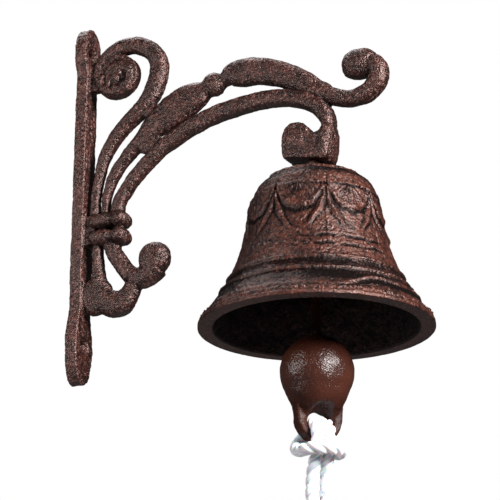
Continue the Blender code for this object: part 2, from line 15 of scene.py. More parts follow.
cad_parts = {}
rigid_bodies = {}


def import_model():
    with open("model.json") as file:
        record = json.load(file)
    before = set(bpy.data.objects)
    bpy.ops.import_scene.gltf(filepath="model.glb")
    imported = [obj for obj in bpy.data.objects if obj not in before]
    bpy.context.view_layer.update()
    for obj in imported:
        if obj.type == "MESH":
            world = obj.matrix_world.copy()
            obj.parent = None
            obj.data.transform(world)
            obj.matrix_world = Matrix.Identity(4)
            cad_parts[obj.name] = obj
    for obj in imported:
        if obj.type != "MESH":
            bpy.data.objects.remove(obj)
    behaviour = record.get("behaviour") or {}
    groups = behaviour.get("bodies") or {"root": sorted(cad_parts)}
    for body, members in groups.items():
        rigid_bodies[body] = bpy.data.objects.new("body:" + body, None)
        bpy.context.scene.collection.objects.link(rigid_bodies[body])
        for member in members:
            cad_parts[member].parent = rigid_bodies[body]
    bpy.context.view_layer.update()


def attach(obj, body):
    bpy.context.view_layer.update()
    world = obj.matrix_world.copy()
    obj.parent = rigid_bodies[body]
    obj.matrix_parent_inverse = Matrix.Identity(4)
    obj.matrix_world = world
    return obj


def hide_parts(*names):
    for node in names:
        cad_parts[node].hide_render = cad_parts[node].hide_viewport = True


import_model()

MM = 0.001
GAP = 0.3  # clearance between pieces that touch
MOUTH_Z = -90.0  # height of the bell's mouth, from the middle of the plate
BELL_X = 141.6  # distance of the bell's axis from the wall

# Camera: its place in metres, its lens in millimetres and its angles in degrees
CAMERA_PLACE = (0.4779, -0.8004, -0.3519)
CAMERA_LENS = 129.6
CAMERA_AZIMUTH = 25.0
CAMERA_ELEVATION = 19.32

# Studio, in metres: the height of the floor and the place that the lights face
FLOOR_Z = -0.8
LIT_PLACE = (0.11, 0.0, -0.02)

# Rope: the hitch, the two hanging parts, their knot and the two loose ends
HITCH_END_Z = -80.0
TAIL_TOP_Z = -80.6
TAIL_END_Z = -218.3
KNOT_Z = -229.6
ROPE_END_TOP_Z = -240.6
ROPE_END_Z = -253.6
ROPE_DIAMETER = 7.0
ROPE_PITCH = 19.0
TIGHT_DIAMETER = 6.6  # of the hitch and the knot
TIGHT_PITCH = 15.0
TIGHT_SPACING = 0.45  # between the rings of its mesh
ROPE_END_X = 4.0
FRAYED_YARNS = 34
FRAYED_RADIUS = 2.7
SEED_ANGLE = 2.39996  # turn from one yarn to the next, which spreads them evenly

HITCH_ROUTE = [
    (-3.7, -1.0, HITCH_END_Z), (-3.7, -1.0, -77.5), (-3.5, -2.2, -72.0), (-3.2, -4.6, -66.8),
    (-3.1, -6.6, -62.0), (-3.1, -7.3, -58.0), (-3.1, -7.1, -54.0), (-3.1, -5.4, -51.0), (-3.1, -2.0, -49.5),
    (-3.1, 2.4, -49.6), (-3.4, 6.2, -51.3), (-4.5, 7.8, -54.4), (-7.3, 7.5, -57.8),
    (-9.5, 5.0, -60.8), (-10.1, 0.4, -62.9), (-9.7, -5.0, -63.6), (-7.8, -10.0, -63.7),
    (-4.2, -13.0, -63.6), (0.0, -13.9, -63.6),
]
TAIL_ROUTES = {
    "rope_left": [
        (-3.7, -1.0, TAIL_TOP_Z), (-3.7, -1.0, -86.0), (-3.9, -0.7, -96.0), (-4.6, -0.3, -112.0),
        (-5.6, 0.4, -135.0), (-5.9, 0.7, -160.0), (-5.2, 0.4, -185.0), (-4.2, 0.1, -205.0),
        (-3.8, 0.0, TAIL_END_Z),
    ],
    "rope_right": [
        (3.7, -1.0, TAIL_TOP_Z), (3.7, -1.0, -86.0), (3.8, -1.3, -96.0), (3.9, -1.8, -112.0),
        (4.4, -2.0, -135.0), (4.9, -1.5, -160.0), (4.8, -0.8, -185.0), (4.1, -0.2, -205.0),
        (3.8, 0.0, TAIL_END_Z),
    ],
}

# Half of the plate's outline, as (half width, z), and its screw holes
PLATE_THICKNESS = 7.0
PLATE_LOW, PLATE_HIGH = -14.2, 194.4  # no roughness goes past these heights
PLATE_OUTLINE = [
    (0.0, -14.1), (5.2, -11.0), (8.2, -2.5), (9.2, 7.8), (8.3, 16.0), (6.3, 25.0), (6.0, 32.0),
    (6.2, 60.0), (6.3, 100.0), (6.2, 140.0), (5.9, 160.0), (6.2, 166.5), (8.4, 172.5),
    (9.2, 179.0), (7.9, 187.0), (4.6, 192.6), (0.0, 194.3),
]
SCREW_HOLES_Z = (7.8, 177.6)
SCREW_HOLE_RADIUS = 3.0
COUNTERSINK_RADIUS = 4.6

# Bars of the bracket, as (x, z, half width, half depth)
UPPER_SCROLL = [
    (11.4, 76.0, 3.2, 3.4), (11.7, 91.0, 3.3, 3.6), (13.1, 101.0, 3.6, 4.0), (16.0, 113.0, 4.2, 4.0),
    (20.9, 122.4, 4.4, 4.0), (28.7, 131.2, 4.7, 4.2), (37.8, 138.6, 5.0, 4.4), (43.8, 145.5, 5.4, 4.5),
    (48.0, 154.0, 5.8, 4.6), (49.5, 162.9, 5.6, 4.6), (47.0, 170.8, 5.4, 4.5), (41.2, 176.2, 5.3, 4.4),
    (33.5, 179.5, 5.1, 4.3), (25.0, 179.3, 4.8, 4.2), (18.0, 176.6, 4.2, 4.0), (13.0, 171.2, 3.6, 3.8),
    (11.4, 163.0, 3.4, 4.0),
]
LEAF_ARM = [
    (17.9, 76.0, 2.8, 3.2), (18.4, 89.0, 3.0, 3.4), (20.2, 97.0, 3.7, 3.8), (25.1, 106.2, 4.4, 4.0),
    (32.0, 114.4, 4.8, 4.2), (39.0, 120.5, 5.5, 4.3), (45.5, 126.5, 7.6, 4.6), (52.0, 131.0, 9.4, 4.8),
    (59.0, 135.2, 10.2, 5.0), (66.5, 139.0, 10.0, 5.0), (74.3, 142.0, 7.9, 4.8), (78.4, 143.9, 5.4, 4.3),
    (82.0, 145.4, 6.9, 5.3), (85.6, 146.6, 6.5, 5.1), (89.2, 147.5, 4.0, 3.9), (93.2, 149.3, 6.6, 4.8),
    (99.0, 149.7, 8.2, 5.0), (106.0, 149.2, 8.4, 5.0), (113.0, 147.9, 8.0, 5.0), (120.0, 145.5, 7.5, 5.0),
    (128.0, 141.8, 7.2, 4.9), (136.0, 137.2, 6.5, 4.8), (143.0, 132.2, 5.7, 4.7), (149.6, 127.9, 5.2, 4.6),
]
HANGER_ARM = [
    (24.9, 76.0, 4.1, 4.0), (26.4, 86.8, 4.3, 4.0), (29.6, 92.0, 4.7, 4.0), (35.2, 99.2, 5.1, 4.0),
    (47.3, 110.3, 5.3, 4.2), (57.6, 117.3, 5.4, 4.3), (72.7, 124.4, 5.4, 4.3), (88.0, 128.6, 5.3, 4.4),
    (104.4, 130.8, 5.2, 4.5), (120.0, 130.8, 4.9, 4.6), (131.0, 128.5, 4.9, 4.7), (139.6, 124.9, 5.0, 5.2),
    (146.1, 119.7, 5.3, 6.0), (149.6, 113.4, 4.9, 6.9), (150.3, 108.4, 4.0, 7.5), (150.3, 101.6, 4.0, 7.8),
]
TIP_SCROLL = [
    (148.4, 128.4, 3.8, 3.4), (151.4, 126.6, 5.0, 4.5), (155.5, 124.5, 5.1, 4.7), (161.5, 122.8, 5.1, 4.8),
    (168.0, 123.0, 5.3, 5.0), (173.9, 125.6, 5.5, 5.3), (177.8, 130.4, 5.7, 5.6), (178.4, 136.2, 5.6, 5.8),
    (175.4, 141.0, 5.6, 5.8),
]
LOWER_BOW = [
    (13.2, 66.4, 2.9, 3.6), (14.0, 54.0, 3.2, 3.8), (14.7, 47.0, 3.8, 4.2), (15.9, 40.0, 5.0, 4.8),
    (18.6, 32.4, 6.9, 5.4), (24.2, 28.9, 7.7, 5.6), (30.0, 29.4, 7.2, 5.4), (34.2, 33.6, 5.6, 4.8),
    (36.2, 38.0, 4.8, 4.4),
]
LOWER_BRACE = [
    (21.6, 66.4, 4.7, 4.2), (23.6, 58.6, 4.7, 4.2), (26.3, 54.4, 4.8, 4.2), (29.4, 49.9, 4.8, 4.3),
    (32.6, 45.9, 5.0, 4.5), (35.2, 43.1, 5.2, 4.6),
]
TAIL_SCROLL = [
    (34.4, 43.5, 3.8, 3.4), (37.4, 42.0, 5.5, 4.6), (41.6, 41.4, 6.3, 5.0), (46.4, 42.7, 6.4, 5.4),
    (50.4, 46.2, 6.2, 5.8),
]
HANGER_HEEL = [
    (150.3, 108.0, 4.0, 7.6), (150.2, 101.6, 4.2, 8.7), (148.6, 95.0, 5.0, 8.8), (147.0, 92.2, 5.0, 8.0),
]

# Balls of the bracket, as a centre and three radii, and where its members run together
TIP_BALL = ((168.2, 0.0, 141.3), (10.0, 6.4, 8.4))
TAIL_BALL = ((48.7, 0.0, 51.2), (9.0, 6.6, 9.1))
BLOCK_BALL = ((133.6, 0.0, 102.8), (8.2, 8.9, 9.0))
BOW_WEB = ((14.0, 0.0, 34.2), (9.5, 5.0, 10.6))
ARM_WEB = ((44.0, 0.0, 117.6), (8.5, 3.3, 5.6))
SCROLL_WEB = ((44.5, 0.0, 137.3), (5.5, 3.2, 5.0))
SHOULDER = ((149.0, 0.0, 106.0), (8.0, 20.0, 7.0))

# Flat webs that tie the bars and the disc to the plate, as (x, z) outlines
BAR_WEB = [(5, 63.5), (13, 63.5), (13, 80), (5, 80)]
DISC_WEB = [(6, 155), (14, 155), (14, 170), (6, 170)]

# Collars, as (low, high), with a knob at the outer end of each
COLLARS = ((62.3, 71.5), (72.0, 80.9))
COLLAR_LEFT = 8.6
COLLAR_RIGHT = 33.0
COLLAR_HALF_DEPTH = 7.0
KNOB_RADIUS = 5.2

# The upper scroll's disc, the coil over it and the grains cast on it
DISC_X, DISC_Z = 24.2, 161.9
DISC_HALF_DEPTH = 3.1
DISC_RADIUS = 12.6
COIL_TURNS = 1.3
DISC_GRAINS = 22

# The block over the bell, as (x, z)
BLOCK_HALF_DEPTH = 7.6
HANGER_BLOCK = [
    (126.7, 92.9), (150.4, 89.0), (152.0, 92.0), (153.2, 101.5), (154.0, 105.4), (146.3, 105.4),
    (143.8, 104.2), (141.9, 105.3), (140.6, 108.4), (138.4, 110.8), (134.8, 112.0), (130.9, 111.5),
    (127.8, 109.3), (126.2, 105.6), (125.9, 100.0), (126.1, 96.0),
]

# The bell's section, as (radius, z)
CROWN_TOP = 86.0
CROWN_UNDERSIDE = 76.5
CROWN_HOLE = 2.9
BELL_CROWN = [
    (CROWN_HOLE, CROWN_TOP), (10.0, CROWN_TOP), (10.0, 83.3), (10.6, 81.4), (19.0, 81.0), (20.0, 79.8),
    (24.3, 79.4), (25.3, 78.2),
]
BELL_FLANK = [
    (25.3, 78.2), (28.8, 75.2), (31.2, 71.0), (32.7, 66.0), (33.8, 60.0), (35.0, 53.0), (36.6, 46.5),
    (38.6, 39.5), (41.0, 32.5), (44.2, 25.0), (48.0, 17.6), (52.9, 10.0), (58.4, 3.4), (59.9, 1.6),
]
BELL_LIP = [(59.9, 1.6), (59.9, 0.0), (59.2, 0.0), (53.4, 0.0), (52.5, 0.0)]
BELL_INSIDE = [
    (52.5, 0.0), (50.6, 3.2), (46.4, 10.0), (42.2, 17.0), (38.4, 24.5), (35.4, 32.0), (33.2, 39.0),
    (31.4, 46.2), (30.0, 53.0), (28.9, 60.0), (27.6, 66.0), (25.8, 70.6), (22.8, 74.0), (18.0, 76.0),
    (CROWN_HOLE, CROWN_UNDERSIDE),
]
BELL_REACH = 59.95  # no relief goes past this radius
BELL_SIDES = 900
RELIEF_TURN = 22.8  # degrees from the bracket's side to the middle of the relief's best cast part
SWAGS = 8
SWAG_TURN = -13.5
LEAF_SWING = (  # as (z, degrees from the swag's middle)
    (40.0, 3.0), (41.0, 4.5), (43.5, 8.6), (47.5, 12.7), (53.0, 17.4), (59.0, 20.6), (63.0, 21.4),
    (67.0, 21.9),
)

# Hanger hardware
SEAT_TOP = 89.9
BOLT_RADIUS = 2.5
BOLT_TOP = 100.9
THREAD_PITCH = 0.8
THREAD_DEPTH = 0.42
NUT_RADIUS = 4.6
NUT_HALF_WIDTH = 4.0
NUT_HEIGHT = 4.0
NUT_BORE = 2.62
EYE_RADIUS = 5.0
EYE_WIRE = 1.5
EYE_Z = 64.0
LINK_WIRE = 1.25
HOOKED = EYE_WIRE + LINK_WIRE + GAP  # distance between two hooked wires
LINK_Z = EYE_Z - 2 * EYE_RADIUS + HOOKED
CLAPPER_EYE_Z = LINK_Z - 2 * EYE_RADIUS + HOOKED

# Clapper
SHANK_RADIUS = 2.5
BALL_Z = -22.4
BALL_RADIUS = 18.65
BALL_END = math.radians(118)  # down from its top, where the pear-shaped neck takes over
PEAR = [(15.8, -33.0), (13.2, -39.0), (10.0, -42.5), (6.0, -44.0)]
ROPE_EYE_Z = -49.0
ROPE_EYE_HOLE = 6.6
ROPE_EYE_DEPTH = 8.0
ROPE_EYE_TURN = math.radians(45.0)
ROPE_EYE_OUTLINE = [
    (12.6, -36.0), (12.3, -41.5), (11.8, -46.5), (10.9, -51.0), (8.6, -54.9), (4.8, -57.5), (0.0, -58.1),
]

VOXEL = 0.55  # of the castings' skins
WAVES = 28

random = np.random.default_rng(7)


def metres(points):
    """Points from the bell's mouth plane in millimetres, in the row frame in metres."""
    return (np.asarray(points, float) + (0, 0, MOUTH_Z)) * MM


def from_axis(points):
    return metres(np.asarray(points, float) + (BELL_X, 0, 0))


def turned_eye(points):
    """Points in the row frame, turned about the bell's axis to where the clapper's rope eye points."""
    cos, sin = math.cos(ROPE_EYE_TURN), math.sin(ROPE_EYE_TURN)
    out, side, up = (np.asarray(points) - (BELL_X * MM, 0, 0)).T
    return np.stack([BELL_X * MM + out * cos - side * sin, out * sin + side * cos, up], axis=1)


def new_object(name, mesh, material=None):
    obj = bpy.data.objects.new(name, mesh)
    bpy.context.scene.collection.objects.link(obj)
    if material:
        mesh.materials.append(material)
    return obj


def mesh_from(name, points, faces, smooth=True):
    """A mesh from points in metres and faces given as arrays or tuples of corner numbers."""
    mesh = bpy.data.meshes.new(name)
    mesh.from_pydata([tuple(p) for p in points], [], [tuple(int(c) for c in f) for f in faces])
    mesh.validate()
    mesh.polygons.foreach_set("use_smooth", [smooth] * len(mesh.polygons))
    return mesh


def store(mesh, name, values):
    """Keeps one value for each point of the mesh, for its material to read."""
    mesh.attributes.new(name, "FLOAT", "POINT").data.foreach_set("value", values.astype(np.float32))


def merged(shapes):
    """Points and faces of several (points, faces) shapes as one."""
    points, faces, start = [], [], 0
    for shape_points, shape_faces in shapes:
        points.append(shape_points)
        faces += [tuple(corner + start for corner in face) for face in shape_faces]
        start += len(shape_points)
    return np.vstack(points), faces


def unit(vectors):
    return vectors / np.linalg.norm(vectors, axis=1)[:, None]


def smooth_route(points, steps):
    """Points on a Catmull-Rom curve through the given ones, with steps of them to a span."""
    points = np.asarray(points, float)
    padded = np.vstack([points[:1], points, points[-1:]])
    route = []
    for before, start, end, after in zip(padded, padded[1:], padded[2:], padded[3:]):
        for t in np.arange(steps) / steps:
            route.append(
                (
                    before * (-t + 2 * t**2 - t**3)
                    + start * (2 - 5 * t**2 + 3 * t**3)
                    + end * (t + 4 * t**2 - 3 * t**3)
                    + after * (-(t**2) + t**3)
                )
                / 2
            )
    return np.array([*route, points[-1]])


def distances(route):
    """How far along the route each of its points lies."""
    return np.concatenate([[0], np.cumsum(np.linalg.norm(np.diff(route, axis=0), axis=1))])


def resampled(route, spacing):
    """Points at even distances along the route."""
    along = distances(route)
    places = np.linspace(0, along[-1], int(along[-1] / spacing) + 1)
    return np.stack([np.interp(places, along, column) for column in route.T], axis=1)


def even_route(points, spacing):
    return resampled(smooth_route(points, 24), spacing)


def moving_frame(route):
    """Two unit vectors across the route at each point, carried along it without twist."""
    heading = unit(np.gradient(route, axis=0))
    side = np.cross(heading[0], (0.3, 1.0, 0.2))
    sides = []
    for direction in heading:
        side = side - direction * side.dot(direction)
        side = side / np.linalg.norm(side)
        sides.append(side)
    sides = np.array(sides)
    return sides, np.cross(heading, sides)


def grid_faces(rows, columns, closed_rows=False):
    """Quads of a grid whose columns close on themselves."""
    faces = []
    for row in range(rows if closed_rows else rows - 1):
        below, above = row * columns, ((row + 1) % rows) * columns
        for column in range(columns):
            after = (column + 1) % columns
            faces.append((below + column, below + after, above + after, above + column))
    return faces


def capped_faces(rows, columns):
    """Faces of a tube of rows, with a cap at both ends."""
    faces = grid_faces(rows, columns)
    last = (rows - 1) * columns
    return [*faces, tuple(range(columns))[::-1], tuple(range(last, last + columns))]


# ---- camera

def set_camera():
    data = bpy.data.cameras.new("camera")
    data.sensor_width = 36.0
    data.lens = CAMERA_LENS
    data.clip_start = 0.01
    camera = bpy.data.objects.new("camera", data)
    bpy.context.scene.collection.objects.link(camera)
    azimuth, elevation = math.radians(CAMERA_AZIMUTH), math.radians(CAMERA_ELEVATION)
    level = math.cos(elevation)
    ahead = Vector((-math.sin(azimuth) * level, math.cos(azimuth) * level, math.sin(elevation)))
    right = Vector((math.cos(azimuth), math.sin(azimuth), 0))
    turn = Matrix((right, right.cross(ahead), -ahead)).transposed().to_4x4()
    camera.matrix_world = Matrix.Translation(CAMERA_PLACE) @ turn
    bpy.context.scene.camera = camera


set_camera()


# ---- materials

class Graph:
    """A material's nodes, added one call at a time."""

    def __init__(self, name):
        self.material = bpy.data.materials.new(name)
        self.material.use_nodes = True
        self.tree = self.material.node_tree
        self.shader = self.tree.nodes["Principled BSDF"]
        where = {0: self.add("ShaderNodeTexCoord").outputs["Object"], "Scale": 1 / MM}
        self.place = self.add("ShaderNodeVectorMath", where, operation="SCALE").outputs[0]

    def put(self, socket, value):
        if isinstance(value, bpy.types.NodeSocket):
            self.tree.links.new(value, socket)
        else:
            socket.default_value = value

    def add(self, kind, values=None, **settings):
        node = self.tree.nodes.new(kind)
        for name, value in settings.items():
            setattr(node, name, value)
        for name, value in (values or {}).items():
            self.put(node.inputs[name], value)
        return node

    def noise(self, size, detail=2.0, roughness=0.5, stretch=None):
        """Noise from 0 to 1 whose lumps are about size millimetres across."""
        place = self.place
        if stretch:
            values = {0: place, 1: stretch}
            place = self.add("ShaderNodeVectorMath", values, operation="MULTIPLY").outputs[0]
        values = {"Vector": place, "Scale": 1.0 / size, "Detail": detail, "Roughness": roughness}
        return self.add("ShaderNodeTexNoise", values).outputs["Fac"]

    def math(self, operation, first, second):
        return self.add("ShaderNodeMath", {0: first, 1: second}, operation=operation).outputs[0]

    def ease(self, value, low, high, out_low=0.0, out_high=1.0):
        """Takes low to out_low and high to out_high, with a soft start and stop."""
        values = {"Value": value, "From Min": low, "From Max": high, "To Min": out_low, "To Max": out_high}
        return self.add("ShaderNodeMapRange", values, interpolation_type="SMOOTHSTEP").outputs[0]

    def blend(self, factor, first, second):
        mix = self.add("ShaderNodeMix", data_type="RGBA")
        for number, value in ((0, factor), (6, first), (7, second)):
            self.put(mix.inputs[number], value)
        return mix.outputs[2]

    def attribute(self, name):
        return self.add("ShaderNodeAttribute", attribute_name=name).outputs["Fac"]

    def bump(self, height, distance, strength=1.0, normal=None):
        values = {"Height": height, "Distance": distance * MM, "Strength": strength}
        if normal:
            values["Normal"] = normal
        return self.add("ShaderNodeBump", values).outputs["Normal"]

    def finish(self, **values):
        for name, value in values.items():
            self.put(self.shader.inputs[name.replace("_", " ")], value)
        return self.material


def iron_material(name, black, brown, red, dust, roughness, grain_depth, dust_limits, shine):
    """Sand cast iron under a brown finish: hollows darkened with sooty patina and painted shade, red brown
    patches, and pale grains on places of wear and of painted light.
    """
    g = Graph(name)
    patches = g.noise(13.0, 4.0, 0.6)
    blotches = g.noise(3.2, 3.0, 0.55)
    grain = g.noise(1.6, 3.0, 0.62)
    grit = g.noise(0.75, 2.0, 0.5)
    soot_and_shade = g.attribute("soot_and_shade")
    worn_and_lit = g.attribute("worn_and_lit")
    tone = g.ease(g.math("ADD", patches, g.math("MULTIPLY", blotches, 0.6)), 0.62, 0.98)
    colour = g.blend(tone, brown, red)
    pits = g.ease(g.math("ADD", blotches, grain), 1.0, 0.72)
    # pits, sooty hollows and painted shade darken the colour towards black
    pits_and_shade = g.math("ADD", pits, g.math("MULTIPLY", soot_and_shade, 1.25))
    colour = g.blend(g.math("MINIMUM", pits_and_shade, 1.0), colour, black)
    # pale dust grains on places of wear and of painted light, fewer in the dark places
    pale = g.math("MULTIPLY", g.ease(grain, *dust_limits), g.ease(g.math("ADD", patches, worn_and_lit), 0.42, 0.78))
    pale = g.math("MULTIPLY", pale, g.ease(soot_and_shade, 0.9, 0.2))
    colour = g.blend(pale, colour, dust)
    rough = g.ease(grit, 0.3, 0.7, roughness - 0.09, roughness + 0.1)
    lumps = g.bump(blotches, 0.22)
    sand = g.math("ADD", grain, g.math("MULTIPLY", grit, 0.35))
    normal = g.bump(sand, grain_depth, 1.0, lumps)
    gloss = g.ease(soot_and_shade, 0.2, 0.9, shine, 0.08)
    return g.finish(
        Base_Color=colour, Roughness=rough, Normal=normal, IOR=1.55, Specular_IOR_Level=gloss,
        Specular_Tint=(1.0, 0.72, 0.66, 1),
    )


def clapper_material():
    """Thick glossy brown paint, pebbled like orange peel."""
    g = Graph("clapper_iron")
    patches = g.noise(16.0, 3.0)
    peel = g.noise(0.85, 2.0, 0.55)
    specks = g.noise(0.6, 2.0)
    soot_and_shade = g.attribute("soot_and_shade")
    colour = g.blend(g.ease(patches, 0.3, 0.7), (0.044, 0.0120, 0.0078, 1), (0.072, 0.0200, 0.0108, 1))
    # darker where sooty hollows and painted shade are marked
    colour = g.blend(g.math("MULTIPLY", soot_and_shade, 0.8), colour, (0.014, 0.006, 0.005, 1))
    normal = g.bump(g.math("ADD", peel, g.math("MULTIPLY", specks, 0.35)), 0.32)
    rough = g.ease(specks, 0.3, 0.7, 0.19, 0.33)
    gloss = g.ease(soot_and_shade, 0.1, 0.7, 0.55, 0.1)
    return g.finish(Base_Color=colour, Roughness=rough, Normal=normal, IOR=1.5, Specular_IOR_Level=gloss)


def steel_material():
    """Dull zinc plate with stains and fine scratches."""
    g = Graph("plated_steel")
    stain = g.noise(5.0, 4.0)
    scratch = g.noise(0.7, 3.0, 0.6, (1.0, 1.0, 6.0))
    colour = g.blend(g.ease(stain, 0.35, 0.7), (0.30, 0.29, 0.27, 1), (0.16, 0.14, 0.12, 1))
    rough = g.ease(scratch, 0.2, 0.8, 0.28, 0.5)
    return g.finish(Base_Color=colour, Roughness=rough, Metallic=1.0, Normal=g.bump(scratch, 0.04))


def cotton_material():
    """White cotton, with painted shade making it greyer in the grooves between its strands and yarns."""
    g = Graph("cotton_rope")
    fibres = g.noise(0.35, 3.0, 0.65)
    lay = g.noise(2.4, 2.0)
    painted_groove_shade = g.attribute("painted_groove_shade")
    colour = g.blend(g.ease(lay, 0.3, 0.7), (0.90, 0.885, 0.91, 1), (0.84, 0.82, 0.86, 1))
    colour = g.blend(g.math("MULTIPLY", painted_groove_shade, 0.5), colour, (0.70, 0.63, 0.73, 1))
    normal = g.bump(fibres, 0.12, 0.7)
    return g.finish(
        Base_Color=colour, Roughness=0.85, Normal=normal, Sheen_Weight=0.25, Subsurface_Weight=0.6,
        Subsurface_Scale=4 * MM,
    )


bracket_iron = iron_material(
    "bracket_iron",
    black=(0.0038, 0.0025, 0.0024, 1), brown=(0.019, 0.0064, 0.0047, 1),
    red=(0.050, 0.0138, 0.0095, 1), dust=(0.16, 0.080, 0.070, 1),
    roughness=0.31, grain_depth=0.80, dust_limits=(0.56, 0.66), shine=0.62,
)
bell_iron = iron_material(
    "bell_iron",
    black=(0.0038, 0.0025, 0.0024, 1), brown=(0.025, 0.0078, 0.0056, 1),
    red=(0.064, 0.0175, 0.0102, 1), dust=(0.17, 0.082, 0.068, 1),
    roughness=0.34, grain_depth=0.56, dust_limits=(0.58, 0.70), shine=0.42,
)
clapper_iron = clapper_material()
plated_steel = steel_material()
cotton = cotton_material()


# ---- rope

def rope_piece(name, strands, painted_groove_shade):
    """A mesh of (points, faces) strands laid out from the bell's axis, turned with the rope eye."""
    points, faces = merged(strands)
    mesh = mesh_from(name, turned_eye(from_axis(points)), faces)
    store(mesh, "painted_groove_shade", np.concatenate(painted_groove_shade))
    return mesh


def rope_mesh(name, route, diameter, pitch, strands=3, yarns=6):
    """A laid rope: strands wound round the route, each with the ridges of its own yarns."""
    sides, ups = moving_frame(route)
    along = distances(route)
    offset, radius = 0.262 * diameter, 0.238 * diameter
    around = np.linspace(0, 2 * math.pi, 4 * yarns, endpoint=False)
    shapes, painted_groove_shade = [], []
    for strand in range(strands):
        turn = 2 * math.pi * (along / pitch + strand / strands)
        outward = np.cos(turn)[:, None] * sides + np.sin(turn)[:, None] * ups
        middle = route + outward * offset
        across = unit(np.gradient(middle, axis=0))
        first = unit(outward - across * (outward * across).sum(1)[:, None])
        second = np.cross(across, first)
        angle = around[None, :] - 2 * math.pi * along[:, None] / (0.8 * pitch)
        ridges = np.abs(np.sin(angle * yarns / 2))
        size = radius * (0.93 + 0.11 * ridges)
        skin = middle[:, None] + size[..., None] * (
            np.cos(angle)[..., None] * first[:, None] + np.sin(angle)[..., None] * second[:, None]
        )
        shapes.append((skin.reshape(-1, 3), capped_faces(len(route), len(around))))
        # painted shade in the gaps between the yarns and on each strand's inner side
        outside = (np.cos(angle) * 0.5 + 0.5) ** 0.6
        painted_groove_shade.append(np.clip((1 - ridges) ** 3 * 0.9 + (1 - outside) * 0.8, 0, 1).reshape(-1))
    return rope_piece(name, shapes, painted_groove_shade)


def frayed_end(name, x):
    """The loose end of one rope below the knot, opening out into its yarns."""
    top, bend, bottom = ROPE_END_TOP_Z + 4, ROPE_END_TOP_Z - 3, ROPE_END_Z + 2.5
    route = even_route([(0.75 * x, 0, top), (x, 0.1, bend), (1.25 * x, 0, bottom)], 0.4)
    shapes, painted_groove_shade = [], []
    around = np.linspace(0, 2 * math.pi, 6, endpoint=False)
    sides, ups = moving_frame(route)
    share = np.linspace(0, 1, len(route))
    for yarn in range(FRAYED_YARNS):
        reach = FRAYED_RADIUS * math.sqrt((yarn + 0.5) / FRAYED_YARNS)
        spread = reach * (1 + 0.22 * share**2)
        turn = yarn * SEED_ANGLE + 1.9 * share * (1 - 0.5 * share)
        sway = 0.35 * np.sin(share * (5 + random.random() * 3) + 6.3 * random.random()) * share
        out, up = np.cos(turn) * spread + sway, np.sin(turn) * spread - sway
        middle = route + out[:, None] * sides + up[:, None] * ups
        middle = middle[: int(len(route) * (0.86 + 0.14 * random.random()))]
        rows = len(middle)
        thick = 0.42 * (1 - 0.55 * share[:rows] ** 4)
        skin = middle[:, None] + thick[:, None, None] * (
            np.cos(around)[None, :, None] * sides[:rows, None]
            + np.sin(around)[None, :, None] * ups[:rows, None]
        )
        shapes.append((skin.reshape(-1, 3), capped_faces(rows, len(around))))
        # painted shade on the yarns deep inside the frayed end
        painted_groove_shade.append(np.full(rows * len(around), 0.25 * (1 - reach / FRAYED_RADIUS)))
    return rope_piece(name, shapes, painted_groove_shade)


def tight_rope(name, points):
    """A piece of the hitch or the knot, where the rope is pulled tight."""
    route = even_route(points, TIGHT_SPACING)
    return new_object(name, rope_mesh(name, route, TIGHT_DIAMETER, TIGHT_PITCH), cotton)


def place_rope():
    """The hitch through the clapper's eye, the two hanging ropes, their knot and the two ends."""
    half = [(-3.7, -1.0, HITCH_END_Z - 3.0), *HITCH_ROUTE[1:]]
    whole = half + [(-x, y, z) for x, y, z in reversed(half[:-1])]
    hitch = tight_rope("rope_hitch_laid", whole)
    wraps = []
    for turn in np.linspace(0, 1, 46):
        angle = 2 * math.pi * 1.62 * turn + 0.9
        swell = 6.6 - 0.7 * math.cos(2 * math.pi * turn)
        wraps.append((swell * math.cos(angle), 0.92 * swell * math.sin(angle), KNOT_Z + 6.4 - 12.8 * turn))
    top, bottom = TAIL_END_Z + 1.0, ROPE_END_TOP_Z + 1.0
    into, out = (-3.4, 0.5, KNOT_Z + 8.0), (4.2, -0.8, KNOT_Z - 8.4)
    knot_route = [(-3.8, 0.0, top), into, *wraps[3:-3], out, (ROPE_END_X, 0.0, bottom)]
    core_route = [(3.8, 0, top), (1.5, 0.6, KNOT_Z + 5), (-1.5, -0.6, KNOT_Z - 5), (-ROPE_END_X, 0, bottom)]
    knot = tight_rope("rope_knot_wrapped", knot_route)
    core = tight_rope("rope_knot_core", core_route)
    pieces = [hitch, knot, core]
    for name, x in (("rope_end_left", -ROPE_END_X), ("rope_end_right", ROPE_END_X)):
        pieces.append(new_object(name + "_frayed", frayed_end(name, x), cotton))
    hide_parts("rope_hitch")
    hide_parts("rope_knot")
    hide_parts("rope_end_left")
    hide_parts("rope_end_right")
    for number, (name, points) in enumerate(TAIL_ROUTES.items()):
        route = even_route(points, 0.5)
        tail = new_object(name + "_laid", rope_mesh(name, route, ROPE_DIAMETER, ROPE_PITCH), cotton)
        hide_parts(name)
        pieces.append(tail)
    for piece in pieces:
        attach(piece, "clapper")


place_rope()


# ---- casting tools

def waves(points, size):
    """A smooth random field, about 1 high, over points in millimetres, with lumps of that size."""
    heading = unit(random.normal(size=(WAVES, 3)))
    heading *= (2 * math.pi / size) * random.uniform(0.6, 1.4, (WAVES, 1))
    phase = random.uniform(0, 2 * math.pi, WAVES)
    total = np.zeros(len(points))
    for direction, shift in zip(heading, phase):
        total += np.sin(points @ direction + shift)
    return total / math.sqrt(WAVES / 2)


